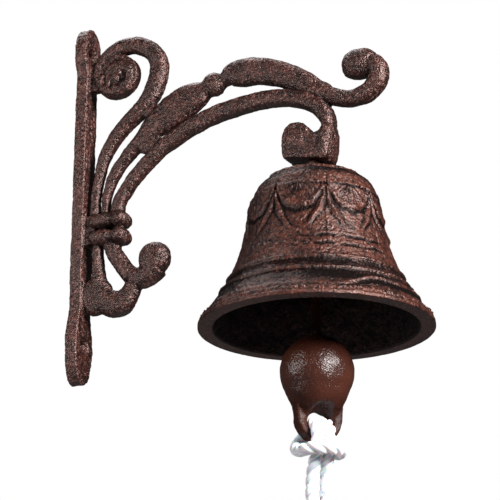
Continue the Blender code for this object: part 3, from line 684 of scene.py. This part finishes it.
def bar(points, steps=6, sides=28, power=2.4):
    """A closed bar in the plane Y = 0 with rounded flat faces, from (x, z, half width, half depth)."""
    route = smooth_route(points, steps)
    line = np.stack([route[:, 0], np.zeros(len(route)), route[:, 1]], axis=1)
    heading = unit(np.gradient(line, axis=0))
    across = np.stack([heading[:, 2], np.zeros(len(line)), -heading[:, 0]], axis=1)
    angle = np.linspace(0, 2 * math.pi, sides, endpoint=False)
    wide = np.sign(np.cos(angle)) * np.abs(np.cos(angle)) ** (2 / power)
    deep = np.sign(np.sin(angle)) * np.abs(np.sin(angle)) ** (2 / power)
    skin = line[:, None] + across[:, None] * (route[:, 2:3] * wide)[..., None]
    skin[..., 1] += route[:, 3:4] * deep
    return metres(skin.reshape(-1, 3)), capped_faces(len(line), sides)


def ball(centre, radii, power=2.0):
    """An ellipsoid; a power over 2 squares it off."""
    shape = bmesh.new()
    bmesh.ops.create_uvsphere(shape, u_segments=40, v_segments=24, radius=1.0)
    points = np.array([v.co for v in shape.verts])
    faces = [[v.index for v in f.verts] for f in shape.faces]
    shape.free()
    if power != 2.0:
        size = (np.abs(points) ** power).sum(1) ** (1 / power)
        points = points / size[:, None]
    return metres(points * radii + centre), faces


def slab(outline, low, high, axis):
    """A flat outline of (across, z) points drawn out along X or Y."""
    layers = []
    for level in (low, high):
        for across, up in outline:
            layers.append((level, across, up) if axis == "X" else (across, level, up))
    return metres(layers), capped_faces(2, len(outline))


def turned(profile, centre, axis, sides=64, closed=False):
    """A profile of (radius, along) turned round an axis through the centre."""
    angle = np.linspace(0, 2 * math.pi, sides, endpoint=False)
    points = []
    for radius, along in profile:
        flat = np.stack([radius * np.cos(angle), radius * np.sin(angle), np.full(sides, along)], axis=1)
        order = {"X": [2, 0, 1], "Y": [0, 2, 1], "Z": [0, 1, 2]}[axis]
        points.append(flat[:, order] + centre)
    rows = len(profile)
    return metres(np.vstack(points)), grid_faces(rows, sides, True) if closed else capped_faces(rows, sides)


def ring(z, radius, wire, axis, sides=20):
    """A wire ring on the bell's axis whose hole runs along X or Y."""
    angle = np.linspace(0, 2 * math.pi, sides, endpoint=False)
    profile = [(radius + wire * math.cos(a), wire * math.sin(a)) for a in angle]
    return turned(profile, (BELL_X, 0, z), axis, 56, closed=True)


def joined(name, shapes):
    """One mesh of several closed shapes, all facing outwards."""
    mesh = mesh_from(name, *merged(shapes))
    shape = bmesh.new()
    shape.from_mesh(mesh)
    bmesh.ops.recalc_face_normals(shape, faces=shape.faces)
    shape.to_mesh(mesh)
    shape.free()
    return mesh


def evaluated_mesh(obj):
    """The object's mesh with its modifiers applied. The object itself is removed."""
    bpy.context.view_layer.update()
    graph = bpy.context.evaluated_depsgraph_get()
    mesh = bpy.data.meshes.new_from_object(obj.evaluated_get(graph))
    bpy.data.objects.remove(obj, do_unlink=True)
    return mesh


def fused(name, shapes, voxel, cuts=()):
    """One skin round all the shapes, less the cuts, in cells of that size in millimetres."""
    obj = new_object(name, joined(name, shapes))
    for number, cut in enumerate(cuts):
        cutter = new_object(f"{name}_cut_{number}", joined("cut", [cut]))
        boolean = obj.modifiers.new("cut", "BOOLEAN")
        boolean.operation = "DIFFERENCE"
        boolean.solver = "EXACT"
        boolean.use_self = True
        boolean.object = cutter
    if cuts:
        mesh = evaluated_mesh(obj)
        for number in range(len(cuts)):
            bpy.data.objects.remove(bpy.data.objects[f"{name}_cut_{number}"], do_unlink=True)
        obj = new_object(name, mesh)
    remesh = obj.modifiers.new("skin", "REMESH")
    remesh.mode = "VOXEL"
    remesh.voxel_size = voxel * MM
    return evaluated_mesh(obj)


def read_points(mesh):
    flat = np.empty(len(mesh.vertices) * 3, np.float32)
    mesh.vertices.foreach_get("co", flat)
    return flat.reshape(-1, 3).astype(float) / MM


def read_normals(mesh):
    flat = np.empty(len(mesh.vertices) * 3, np.float32)
    mesh.vertex_normals.foreach_get("vector", flat)
    return flat.reshape(-1, 3).astype(float)


def write_points(mesh, points):
    mesh.vertices.foreach_set("co", (points * MM).astype(np.float32).reshape(-1))
    mesh.update()


def relaxed(points, edges, rounds):
    """Points after each is drawn towards its neighbours that many times."""
    first, second = edges[:, 0], edges[:, 1]
    count = np.bincount(edges.reshape(-1), minlength=len(points)).clip(1)
    for _ in range(rounds):
        mean = np.stack(
            [
                np.bincount(first, points[second, axis], len(points))
                + np.bincount(second, points[first, axis], len(points))
                for axis in range(3)
            ],
            axis=1,
        ) / count[:, None]
        points = points * 0.4 + mean * 0.6
    return points


def edges_of(mesh):
    flat = np.empty(len(mesh.edges) * 2, np.int32)
    mesh.edges.foreach_get("vertices", flat)
    return flat.reshape(-1, 2)


def set_soot_shade_and_wear(mesh, reach, depth, extra_soot_and_shade=0.0, extra_worn_and_lit=0.0):
    """Marks hollows as sooty, with painted shade, and edges as rubbed with wear, by how far each point lies
    under its surroundings; the extra values add more of both, painted light and shade among them.
    """
    points, edges = read_points(mesh), edges_of(mesh)
    hollow = ((relaxed(points, edges, reach) - points) * read_normals(mesh)).sum(1) / depth
    store(mesh, "soot_and_shade", np.clip(np.clip(hollow, 0, 1) + extra_soot_and_shade, 0, 1))
    store(mesh, "worn_and_lit", np.clip(extra_worn_and_lit - hollow, 0, 1))


def roughen(mesh, lumps):
    """Moves each point along its normal by random fields of (height, size) in millimetres."""
    points = read_points(mesh)
    height = sum(high * waves(points, size) for high, size in lumps)
    write_points(mesh, points + read_normals(mesh) * height[:, None])


def smooth_shading(mesh):
    mesh.polygons.foreach_set("use_smooth", [True] * len(mesh.polygons))
    return mesh


# ---- bracket

def both_sides(half):
    """A whole outline from the (across, z) points of one half."""
    return half + [(-across, up) for across, up in reversed(half) if across > 0]


def scroll_coil():
    """The coil of the upper scroll, wound inward over its disc."""
    coil = []
    for turn in np.linspace(0, COIL_TURNS, 24):
        angle = math.pi * 0.98 + 2 * math.pi * turn
        radius = 11.0 - 5.6 * turn
        place = (DISC_X + radius * math.cos(angle), DISC_Z + radius * math.sin(angle))
        coil.append((*place, 3.5 - 0.35 * turn, 4.9 - 0.7 * turn))
    return coil


def scroll_disc():
    deep = DISC_HALF_DEPTH
    section = [(0.5, -deep), (DISC_RADIUS, -deep), (DISC_RADIUS, deep), (0.5, deep)]
    return turned(section, (DISC_X, 0, DISC_Z), "Y")


def disc_grains():
    """Rough grains cast on both faces of the disc."""
    grains = []
    for side in (-1, 1):
        for turn, out, size in random.uniform((0, 1.0, 1.2), (6.28, 8.5, 2.1), (DISC_GRAINS, 3)):
            place = (DISC_X + out * math.cos(turn), side * 3.3, DISC_Z + out * math.sin(turn))
            grains.append(ball(place, (size, 1.5, size)))
    return grains


def collars():
    """Two cushioned bands round the bars, each with a knob at its outer end."""
    shapes = []
    right = COLLAR_RIGHT - 7.0
    for low, high in COLLARS:
        middle, half = (low + high) / 2, (high - low) / 2
        band = ((right - COLLAR_LEFT) / 2, COLLAR_HALF_DEPTH, half)
        shapes.append(ball(((COLLAR_LEFT + right) / 2, 0, middle), band, 2.6))
        knob = (KNOB_RADIUS, COLLAR_HALF_DEPTH + 0.3, half + 0.1)
        shapes.append(ball((COLLAR_RIGHT - KNOB_RADIUS, 0, middle - 0.2), knob, 2.2))
    return shapes


def slimness(z):
    """How much of its full section a bar has: it is slimmer where the bars run side by side."""
    return 0.96 - 0.17 * math.exp(-(((z - 103.0) / 20.0) ** 2))


def bars():
    """The bracket's members. A higher power squares a member's section off."""
    shapes = []
    for route, power in (
        (UPPER_SCROLL, 2.5), (LEAF_ARM, 2.5), (HANGER_ARM, 2.9), (TIP_SCROLL, 2.4), (LOWER_BOW, 2.4),
        (LOWER_BRACE, 2.6), (TAIL_SCROLL, 2.2),
    ):
        route = [(x, z, wide * slimness(z), deep * slimness(z)) for x, z, wide, deep in route]
        shapes.append(bar(route, power=power))
    return shapes


def screw_holes():
    """Cutters for the countersunk holes through the wall plate."""
    wide = COUNTERSINK_RADIUS
    section = [(SCREW_HOLE_RADIUS, -2.0), (SCREW_HOLE_RADIUS, 4.2), (wide, 6.4), (wide + 0.4, 9.0)]
    return [turned(section, (0, 0, z), "X", 40) for z in SCREW_HOLES_Z]


def place_bracket():
    """The wall plate and all the members that grow from it, as one casting."""
    outline = both_sides([tuple(p) for p in smooth_route(PLATE_OUTLINE, 5)])
    shapes = [slab(outline, 0.0, PLATE_THICKNESS, "X"), *bars()]
    shapes += [bar(scroll_coil(), steps=3, power=2.2), scroll_disc()]
    shapes += [ball(*TIP_BALL, 2.3), ball(*TAIL_BALL, 2.2)]
    shapes += [slab(BAR_WEB, -4.0, 4.0, "Y"), *collars()]
    shapes.append(slab(HANGER_BLOCK, -BLOCK_HALF_DEPTH, BLOCK_HALF_DEPTH, "Y"))
    shapes += [ball(*BOW_WEB, 2.3), ball(*ARM_WEB), ball(*SCROLL_WEB), *disc_grains()]
    shapes += [ball(*BLOCK_BALL, 2.5), bar(HANGER_HEEL)]
    shapes.append(slab(DISC_WEB, -2.8, 2.8, "Y"))
    mesh = fused("bracket_casting", shapes, VOXEL, screw_holes())
    edges = edges_of(mesh)
    points = relaxed(read_points(mesh), edges, 2)
    middle, size = SHOULDER
    shoulder = np.exp(-(((points - middle - (0, 0, MOUTH_Z)) / size) ** 2).sum(1))
    points += (relaxed(points, edges, 40) - points) * shoulder[:, None]
    write_points(mesh, points)
    roughen(mesh, ((0.10, 9.0), (0.045, 3.6), (0.05, 1.9)))
    points = read_points(mesh)
    points[:, 0] = points[:, 0].clip(0.0)
    points[:, 2] = points[:, 2].clip(PLATE_LOW + MOUTH_Z, PLATE_HIGH + MOUTH_Z)
    write_points(mesh, points)
    # painted light and shade: the wall plate is made paler, and the members that stand out from it darker
    away = np.clip((points[:, 0] - PLATE_THICKNESS) / 3.0, 0, 1)
    set_soot_shade_and_wear(mesh, reach=26, depth=0.62, extra_soot_and_shade=0.60 * away - 0.35, extra_worn_and_lit=0.6 * (1 - away))
    casting = new_object("bracket_casting", smooth_shading(mesh), bracket_iron)
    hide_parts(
        "wall_plate", "collar_upper", "collar_lower", "upper_scroll", "scroll_disc", "leaf_arm",
        "tip_scroll", "hanger_arm", "hanger_block", "lower_bow", "lower_brace", "tail_scroll",
    )
    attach(casting, "bracket")


# ---- bell

def ridge(distance, width):
    """A rounded ridge, 1 high, at no distance from its line."""
    return np.exp(-((distance / width) ** 2))


def step_up(distance, width):
    """A soft step from 0 to 1, halfway up at no distance."""
    return 1 / (1 + np.exp(-distance / width))


def swag_relief(angle, z, radius):
    """The swags round the shoulder, as height in millimetres and how dark they are made, with sooty patina
    and painted shade.
    """
    step = 360.0 / SWAGS
    local = (np.degrees(angle) - SWAG_TURN + step / 2) % step - step / 2
    per_degree = np.radians(1.0) * radius
    # bowl of each swag: a pleated roll round a darker patch, with a painted shadow along its lower edge
    inside = np.clip(1 - (local / 20.8) ** 2, 0, None)
    floor = 66.8 - 14.6 * np.sqrt(inside) + 0.3 * np.sin(angle * 31.0)
    bowl = (inside > 0) * step_up(z - floor, 0.4) * step_up(68.0 - z, 0.5)
    pleats = 0.16 * np.sin(np.arctan2(local * per_degree, 68.0 - z) * 13.0)
    height = bowl * (0.75 + 0.55 * ridge(z - floor - 2.4, 1.7) + pleats)
    soot_and_shade = 0.9 * ridge(z - floor + 1.0, 1.1) * (inside > 0) * (z < 66)
    hollow = ridge(local + 3.0, 6.0) * ridge(z - 63.0, 2.4)
    soot_and_shade += bowl * (0.65 * hollow - 0.25 * ridge(z - floor - 2.6, 2.4))
    # the pair of long leaves that hangs round it and nearly meets under it
    swing = np.interp(z, *zip(*LEAF_SWING))
    gap = (np.abs(local) - swing) * per_degree + 0.3 * np.sin(z * 0.7 + angle * 11.0)
    live = np.clip((z - 41.5) / 3.0, 0, 1) * np.clip((66.0 - z) / 2.0, 0, 1)
    leaf = np.clip(0.8 + 0.3 * np.sin(angle * 8.3 + 0.9), 0.5, 1.1)
    width = 0.7 + 0.9 * np.sin(math.pi * np.clip((z - 41.0) / 22.0, 0, 1))
    height += live * 1.2 * leaf * ridge(gap, width)
    # painted shadows along both sides of each leaf, and the leaf itself made paler
    edges = ridge(gap - width - 1.0, 0.9) + ridge(gap + width + 1.0, 0.9)
    soot_and_shade += live * (0.6 * edges - 0.3 * ridge(gap, width))
    # dark joint between the swags, and the seam below it
    joint = (step / 2 - np.abs(local)) * per_degree
    soot_and_shade += 0.5 * ridge(joint, 1.0) * (z > 52) * (z < 66)
    height += 0.3 * ridge(joint, 0.7) * (z > 29) * (z < 52)
    return height, soot_and_shade


def bell_relief(angle, z, radius):
    """Height of the cast ornament in millimetres, and how dark it is made, with sooty patina and painted
    shade, over the bell's outside.
    """
    height, soot_and_shade = swag_relief(angle, z, radius)
    # band under the shoulder, cast more sharply on one side, with painted shade under its lower edge, and a
    # darker band under the crown's rim
    sharp = np.clip(0.55 + 0.6 * np.sin(angle + 0.2), 0.1, 1)
    height += 0.6 * sharp * step_up(z - 67.0, 0.35) * (z < 77)
    soot_and_shade += 0.85 * sharp * ridge(z - 66.2, 0.8)
    soot_and_shade += 0.95 * ridge(z - 76.2, 2.6) * (0.8 + 0.2 * np.sin(angle * 5.0 + 0.4))
    # two broken lines, cast deep on two sides and faint between
    deep = 0.22 + 0.78 * step_up(np.cos(2 * (angle - 0.40)) - 0.55, 1 / 14)
    for level in (36.6, 31.6):
        wave = level + 0.35 * np.sin(angle * 9 + level) + 0.25 * np.sin(angle * 23 + 1.7 * level)
        broken = deep * np.clip(0.75 + 0.6 * np.sin(angle * 17 + level) + 0.3 * np.sin(angle * 41), 0, 1)
        height -= 0.42 * ridge(z - wave, 0.65) * broken
        height += 0.3 * ridge(z - wave - 1.6, 0.7) * broken
        soot_and_shade += ridge(z - wave, 1.0) * broken
    # two moulded rings, with painted shade in dark bands under them
    for level, rise, wide in ((24.0, 1.2, 0.9), (16.9, 1.25, 0.95)):
        wave = level + 0.25 * np.sin(angle * 5 + level)
        height += rise * ridge(z - wave, wide)
    height += 0.6 * ridge(z - 11.0, 4.6) - 0.15 * ridge(z - 20.6, 1.6)
    patchy = np.clip(0.70 + 0.40 * np.sin(angle * 4.3 + 0.9) + 0.2 * np.sin(angle * 11.0), 0.35, 1)
    soot_and_shade += patchy * (ridge(z - 21.0, 2.0) + 1.15 * ridge(z - 12.4, 3.9))
    # the casting's flow line: it dips, then steps up to run higher
    degrees = np.degrees(angle)
    high = step_up(degrees - 21.0, 3.5) * step_up(112.0 - degrees, 9.0)
    flow = 7.0 - 1.3 * ridge(degrees - 9.0, 8.0) + 4.6 * high + 0.25 * np.sin(angle * 13)
    height += (0.35 + 0.75 * high) * ridge(z - flow, 0.9)
    soot_and_shade += high * (0.95 * ridge(z - flow + 2.6, 1.5) - 0.8 * ridge(z - flow, 1.2))
    # rough bead above the lip
    height += 0.45 * ridge(z - 3.9, 0.65)
    soot_and_shade += 0.3 * ridge(z - 5.4, 0.5) - 0.8 * ridge(z - 3.6, 1.3)
    return height, np.clip(soot_and_shade, -0.8, 1)


def place_bell():
    """The bell as one surface, from the crown's hole down the outside and up the inside."""
    crown = resampled(np.array(BELL_CROWN), 0.4)
    flank = resampled(smooth_route(BELL_FLANK, 10), 0.4)
    under = resampled(np.array(BELL_LIP), 0.5)
    inner = resampled(smooth_route(BELL_INSIDE, 6), 1.4)
    rows = np.vstack([crown, flank[1:], under[1:], inner[1:]])
    sides = BELL_SIDES
    angle = np.linspace(0, 2 * math.pi, sides, endpoint=False)
    radius = np.repeat(rows[:, 0][:, None], sides, 1)
    z = np.repeat(rows[:, 1][:, None], sides, 1)
    turn = np.repeat(angle[None, :], len(rows), 0)
    facing = (turn + math.pi) % (2 * math.pi) - math.pi
    relief, soot_and_shade = bell_relief(facing, z, radius)
    number = np.arange(len(rows))[:, None]
    outside = (number >= len(crown)) & (number < len(crown) + len(flank) - 1)
    relief, soot_and_shade = relief * outside, soot_and_shade * outside
    inside = number >= len(rows) - len(inner)
    soot_and_shade = np.where(inside, 0.66, soot_and_shade)
    spin = (turn + math.radians(RELIEF_TURN)).reshape(-1)
    far, up = radius.reshape(-1), z.reshape(-1)
    places = np.stack([far * np.sin(spin), -far * np.cos(spin), up], axis=1)
    rough = 0.10 * waves(places, 11.0) + 0.06 * waves(places, 4.0) + 0.05 * waves(places, 1.9)
    bead = 0.42 * np.clip(waves(places, 1.7), 0, 2) * ridge(up - 3.6, 1.0) * outside.repeat(sides)
    fade = np.clip((far - 3.2) / 4.0, 0, 1) * np.clip(up / 3.0, 0.25, 1)
    slope = np.gradient(rows, axis=0)
    slope /= np.linalg.norm(slope, axis=1)[:, None].clip(1e-9)
    out = np.stack([-slope[:, 1], slope[:, 0]], axis=1)
    rims = 0.55 * ridge(radius - 24.2, 0.7) + 0.45 * ridge(radius - 19.4, 0.6)
    push = (relief + rims * (number < len(crown))).reshape(-1) + rough * fade + bead
    outward, upward = out.repeat(sides, axis=0).T
    normal = np.stack([outward * np.sin(spin), -outward * np.cos(spin), upward], axis=1)
    points = places + normal * push[:, None]
    reach = np.linalg.norm(points[:, :2], axis=1)
    points[:, :2] *= (np.minimum(reach, BELL_REACH) / reach)[:, None]
    points[:, 2] = points[:, 2].clip(0.0, CROWN_TOP)
    faces = [face[::-1] for face in grid_faces(len(rows), sides, True)]
    mesh = mesh_from("bell_casting", from_axis(points), faces)
    # painted light: the underside of the lip is made paler, as if lit from below
    lip = np.repeat((number >= len(rows) - len(inner) - len(under)) & ~inside, sides, 1) * 0.6
    pale = lip.reshape(-1) + np.clip(-soot_and_shade.reshape(-1), 0, 1)
    dark = soot_and_shade.reshape(-1) - lip.reshape(-1)
    set_soot_shade_and_wear(mesh, reach=18, depth=0.35, extra_soot_and_shade=dark, extra_worn_and_lit=0.7 * pale)
    bell = new_object("bell_casting", mesh, bell_iron)
    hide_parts("bell_shell")
    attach(bell, "bracket")


def place_crown_seat():
    """The spacer between the crown and the bracket's block."""
    low, high = CROWN_TOP + 0.1, SEAT_TOP
    section = [(CROWN_HOLE, low), (4.2, low), (4.5, 86.6), (4.5, 89.2), (4.2, high), (CROWN_HOLE, high)]
    seat = fused("crown_seat", [turned(section, (BELL_X, 0, 0), "Z", 96, closed=True)], 0.3)
    roughen(seat, ((0.07, 3.0), (0.05, 1.6)))
    set_soot_shade_and_wear(seat, reach=10, depth=0.4)
    seat = new_object("crown_seat", smooth_shading(seat), bracket_iron)
    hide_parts("crown_washer")
    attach(seat, "bracket")


# ---- hanger hardware

def threaded_rod(bottom, top, sides=40):
    """The bolt's shank, with its thread as one helical ridge."""
    rows = int((top - bottom) / (THREAD_PITCH / 10))
    heights = np.repeat(np.linspace(bottom, top, rows)[:, None], sides, 1)
    angle = np.linspace(0, 2 * math.pi, sides, endpoint=False)
    phase = (heights / THREAD_PITCH + angle / (2 * math.pi)) % 1
    size = BOLT_RADIUS - THREAD_DEPTH * np.abs(2 * phase - 1)
    points = np.stack([BELL_X + size * np.cos(angle), size * np.sin(angle), heights], axis=-1)
    return metres(points.reshape(-1, 3)), capped_faces(rows, sides)


def hexagon_nut(bottom, top, sides=96):
    """A hexagon nut on the bell's axis, with its corners turned off at both ends."""
    angle = np.linspace(0, 2 * math.pi, sides, endpoint=False)
    flat = NUT_HALF_WIDTH / np.cos((angle + math.pi / 6) % (math.pi / 3) - math.pi / 6)
    round_end = np.minimum(flat, NUT_RADIUS - 0.5)
    full = np.minimum(flat, NUT_RADIUS)
    bore = np.full(sides, NUT_BORE)
    rows = []
    for level, size in (
        (bottom, round_end), (bottom + 0.35, full), (top - 0.35, full), (top, round_end),
        (top, bore), (bottom, bore),
    ):
        across = (BELL_X + size * np.cos(angle), size * np.sin(angle), np.full(sides, level))
        rows.append(np.stack(across, axis=1))
    mesh = joined("nut", [(metres(np.vstack(rows)), grid_faces(len(rows), sides, True))])
    mesh.polygons.foreach_set("use_smooth", [False] * len(mesh.polygons))
    return mesh


def place_hardware():
    """The eye bolt, its nut and the link ring. The bolt clamps the bell and carries the clapper."""
    top = EYE_Z + EYE_RADIUS
    rod = threaded_rod(top + 1.0, BOLT_TOP - 0.1)
    neck = turned([(1.6, top - 0.6), (2.1, top + 0.7), (2.2, top + 1.6)], (BELL_X, 0, 0), "Z", 32)
    bolt = joined("bolt", [rod, neck, ring(EYE_Z, EYE_RADIUS, EYE_WIRE, "Y")])
    bolt = new_object("eye_bolt_threaded", bolt, plated_steel)
    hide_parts("eye_bolt")
    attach(bolt, "bracket")
    seat = CROWN_UNDERSIDE - GAP
    nut = new_object("crown_nut_hexagon", hexagon_nut(seat - NUT_HEIGHT, seat), plated_steel)
    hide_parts("crown_nut")
    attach(nut, "bracket")
    link = joined("link", [ring(LINK_Z, EYE_RADIUS, LINK_WIRE, "X")])
    link = new_object("clapper_link_ring", link, plated_steel)
    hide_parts("clapper_link")
    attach(link, "link")


# ---- clapper

def clapper_body():
    """The shank, the ball and the pear-shaped neck under it, turned about the bell's axis."""
    start = math.asin(SHANK_RADIUS / BALL_RADIUS)
    top = CLAPPER_EYE_Z - EYE_RADIUS
    body = [(0.3, top), (SHANK_RADIUS, top - 0.6), (SHANK_RADIUS, BALL_Z + BALL_RADIUS + 2.0)]
    for angle in np.linspace(start, BALL_END, 40):
        body.append((BALL_RADIUS * math.sin(angle), BALL_Z + BALL_RADIUS * math.cos(angle)))
    body += [tuple(p) for p in smooth_route([body[-1], *PEAR], 8)[1:]]
    return turned(body, (BELL_X, 0, 0), "Z", 96)


def rope_hole():
    """Cutter for the rope eye's hole, flared at both ends."""
    flare = [(3.2, -14.0), (0.9, -4.2), (-0.2, -2.6), (-0.2, 2.6), (0.9, 4.2), (3.2, 14.0)]
    section = [(ROPE_EYE_HOLE + grow, along) for grow, along in flare]
    points, faces = turned(section, (BELL_X, 0, ROPE_EYE_Z), "Y")
    return turned_eye(points), faces


def place_clapper():
    """The clapper as one casting: eye, shank, ball, neck and the flat eye that holds the rope."""
    outline = both_sides([tuple(p) for p in smooth_route(ROPE_EYE_OUTLINE, 6)])
    outline = [(BELL_X + x, z) for x, z in outline]
    rope_eye = slab(outline, -ROPE_EYE_DEPTH / 2, ROPE_EYE_DEPTH / 2, "Y")
    swell = ball((BELL_X, 0, -42.0), (11.6, 7.4, 7.0))
    rope_eye, swell = ((turned_eye(points), faces) for points, faces in (rope_eye, swell))
    shapes = [clapper_body(), rope_eye, swell, ring(CLAPPER_EYE_Z, EYE_RADIUS, EYE_WIRE, "Y")]
    mesh = fused("clapper_casting", shapes, VOXEL, [rope_hole()])
    write_points(mesh, relaxed(read_points(mesh), edges_of(mesh), 8))
    roughen(mesh, ((0.10, 9.0), (0.035, 3.0)))
    # painted shade: the clapper is made darker towards its bottom
    under = np.clip((MOUTH_Z - 27.0 - read_points(mesh)[:, 2]) / 12.0, 0, 1)
    set_soot_shade_and_wear(mesh, reach=26, depth=0.7, extra_soot_and_shade=0.6 * under)
    clapper = new_object("clapper_casting", smooth_shading(mesh), clapper_iron)
    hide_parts("clapper")
    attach(clapper, "clapper")


place_bracket()
place_bell()
place_crown_seat()
place_hardware()
place_clapper()


# ---- studio

def softbox(name, azimuth, elevation, distance, size, power):
    """An area light that faces the object. Azimuth 0 is straight in front of the bracket's side."""
    data = bpy.data.lights.new(name, "AREA")
    data.shape = "RECTANGLE"
    data.size, data.size_y = size
    data.energy = power
    data.spread = math.radians(100)
    light = bpy.data.objects.new(name, data)
    bpy.context.scene.collection.objects.link(light)
    turn, lift = math.radians(azimuth), math.radians(elevation)
    way = Vector((math.sin(turn) * math.cos(lift), -math.cos(turn) * math.cos(lift), math.sin(lift)))
    light.location = Vector(LIT_PLACE) + way * distance
    light.rotation_euler = way.to_track_quat("Z", "Y").to_euler()


def set_world():
    """White behind the object, and an even grey for everything that it reflects."""
    world = bpy.data.worlds.new("studio")
    bpy.context.scene.world = world
    world.use_nodes = True
    tree = world.node_tree
    tree.nodes.clear()
    fill, white = tree.nodes.new("ShaderNodeBackground"), tree.nodes.new("ShaderNodeBackground")
    fill.inputs["Color"].default_value = (0.05, 0.05, 0.052, 1)
    white.inputs["Color"].default_value = (1, 1, 1, 1)
    path, mix = tree.nodes.new("ShaderNodeLightPath"), tree.nodes.new("ShaderNodeMixShader")
    tree.links.new(path.outputs["Is Camera Ray"], mix.inputs[0])
    tree.links.new(fill.outputs[0], mix.inputs[1])
    tree.links.new(white.outputs[0], mix.inputs[2])
    tree.links.new(mix.outputs[0], tree.nodes.new("ShaderNodeOutputWorld").inputs["Surface"])


def set_floor():
    g = Graph("floor")
    dust = g.noise(30.0, 3.0)
    colour = g.blend(dust, (0.80, 0.80, 0.80, 1), (0.84, 0.84, 0.84, 1))
    material = g.finish(Base_Color=colour, Roughness=0.8)
    points = [(x, y, FLOOR_Z) for x, y in ((-3, -3), (3, -3), (3, 3), (-3, 3))]
    floor = new_object("floor", mesh_from("floor", points, [(0, 1, 2, 3)], False), material)


set_world()
set_floor()
softbox("right_box", azimuth=66.0, elevation=19.0, distance=1.0, size=(0.40, 0.46), power=9.6)
softbox("left_box", azimuth=-42.0, elevation=6.0, distance=1.0, size=(0.30, 0.34), power=1.6)
softbox("top_box", azimuth=-120.0, elevation=62.0, distance=0.9, size=(0.4, 0.4), power=0.9)
bpy.context.scene.view_settings.view_transform = "Standard"
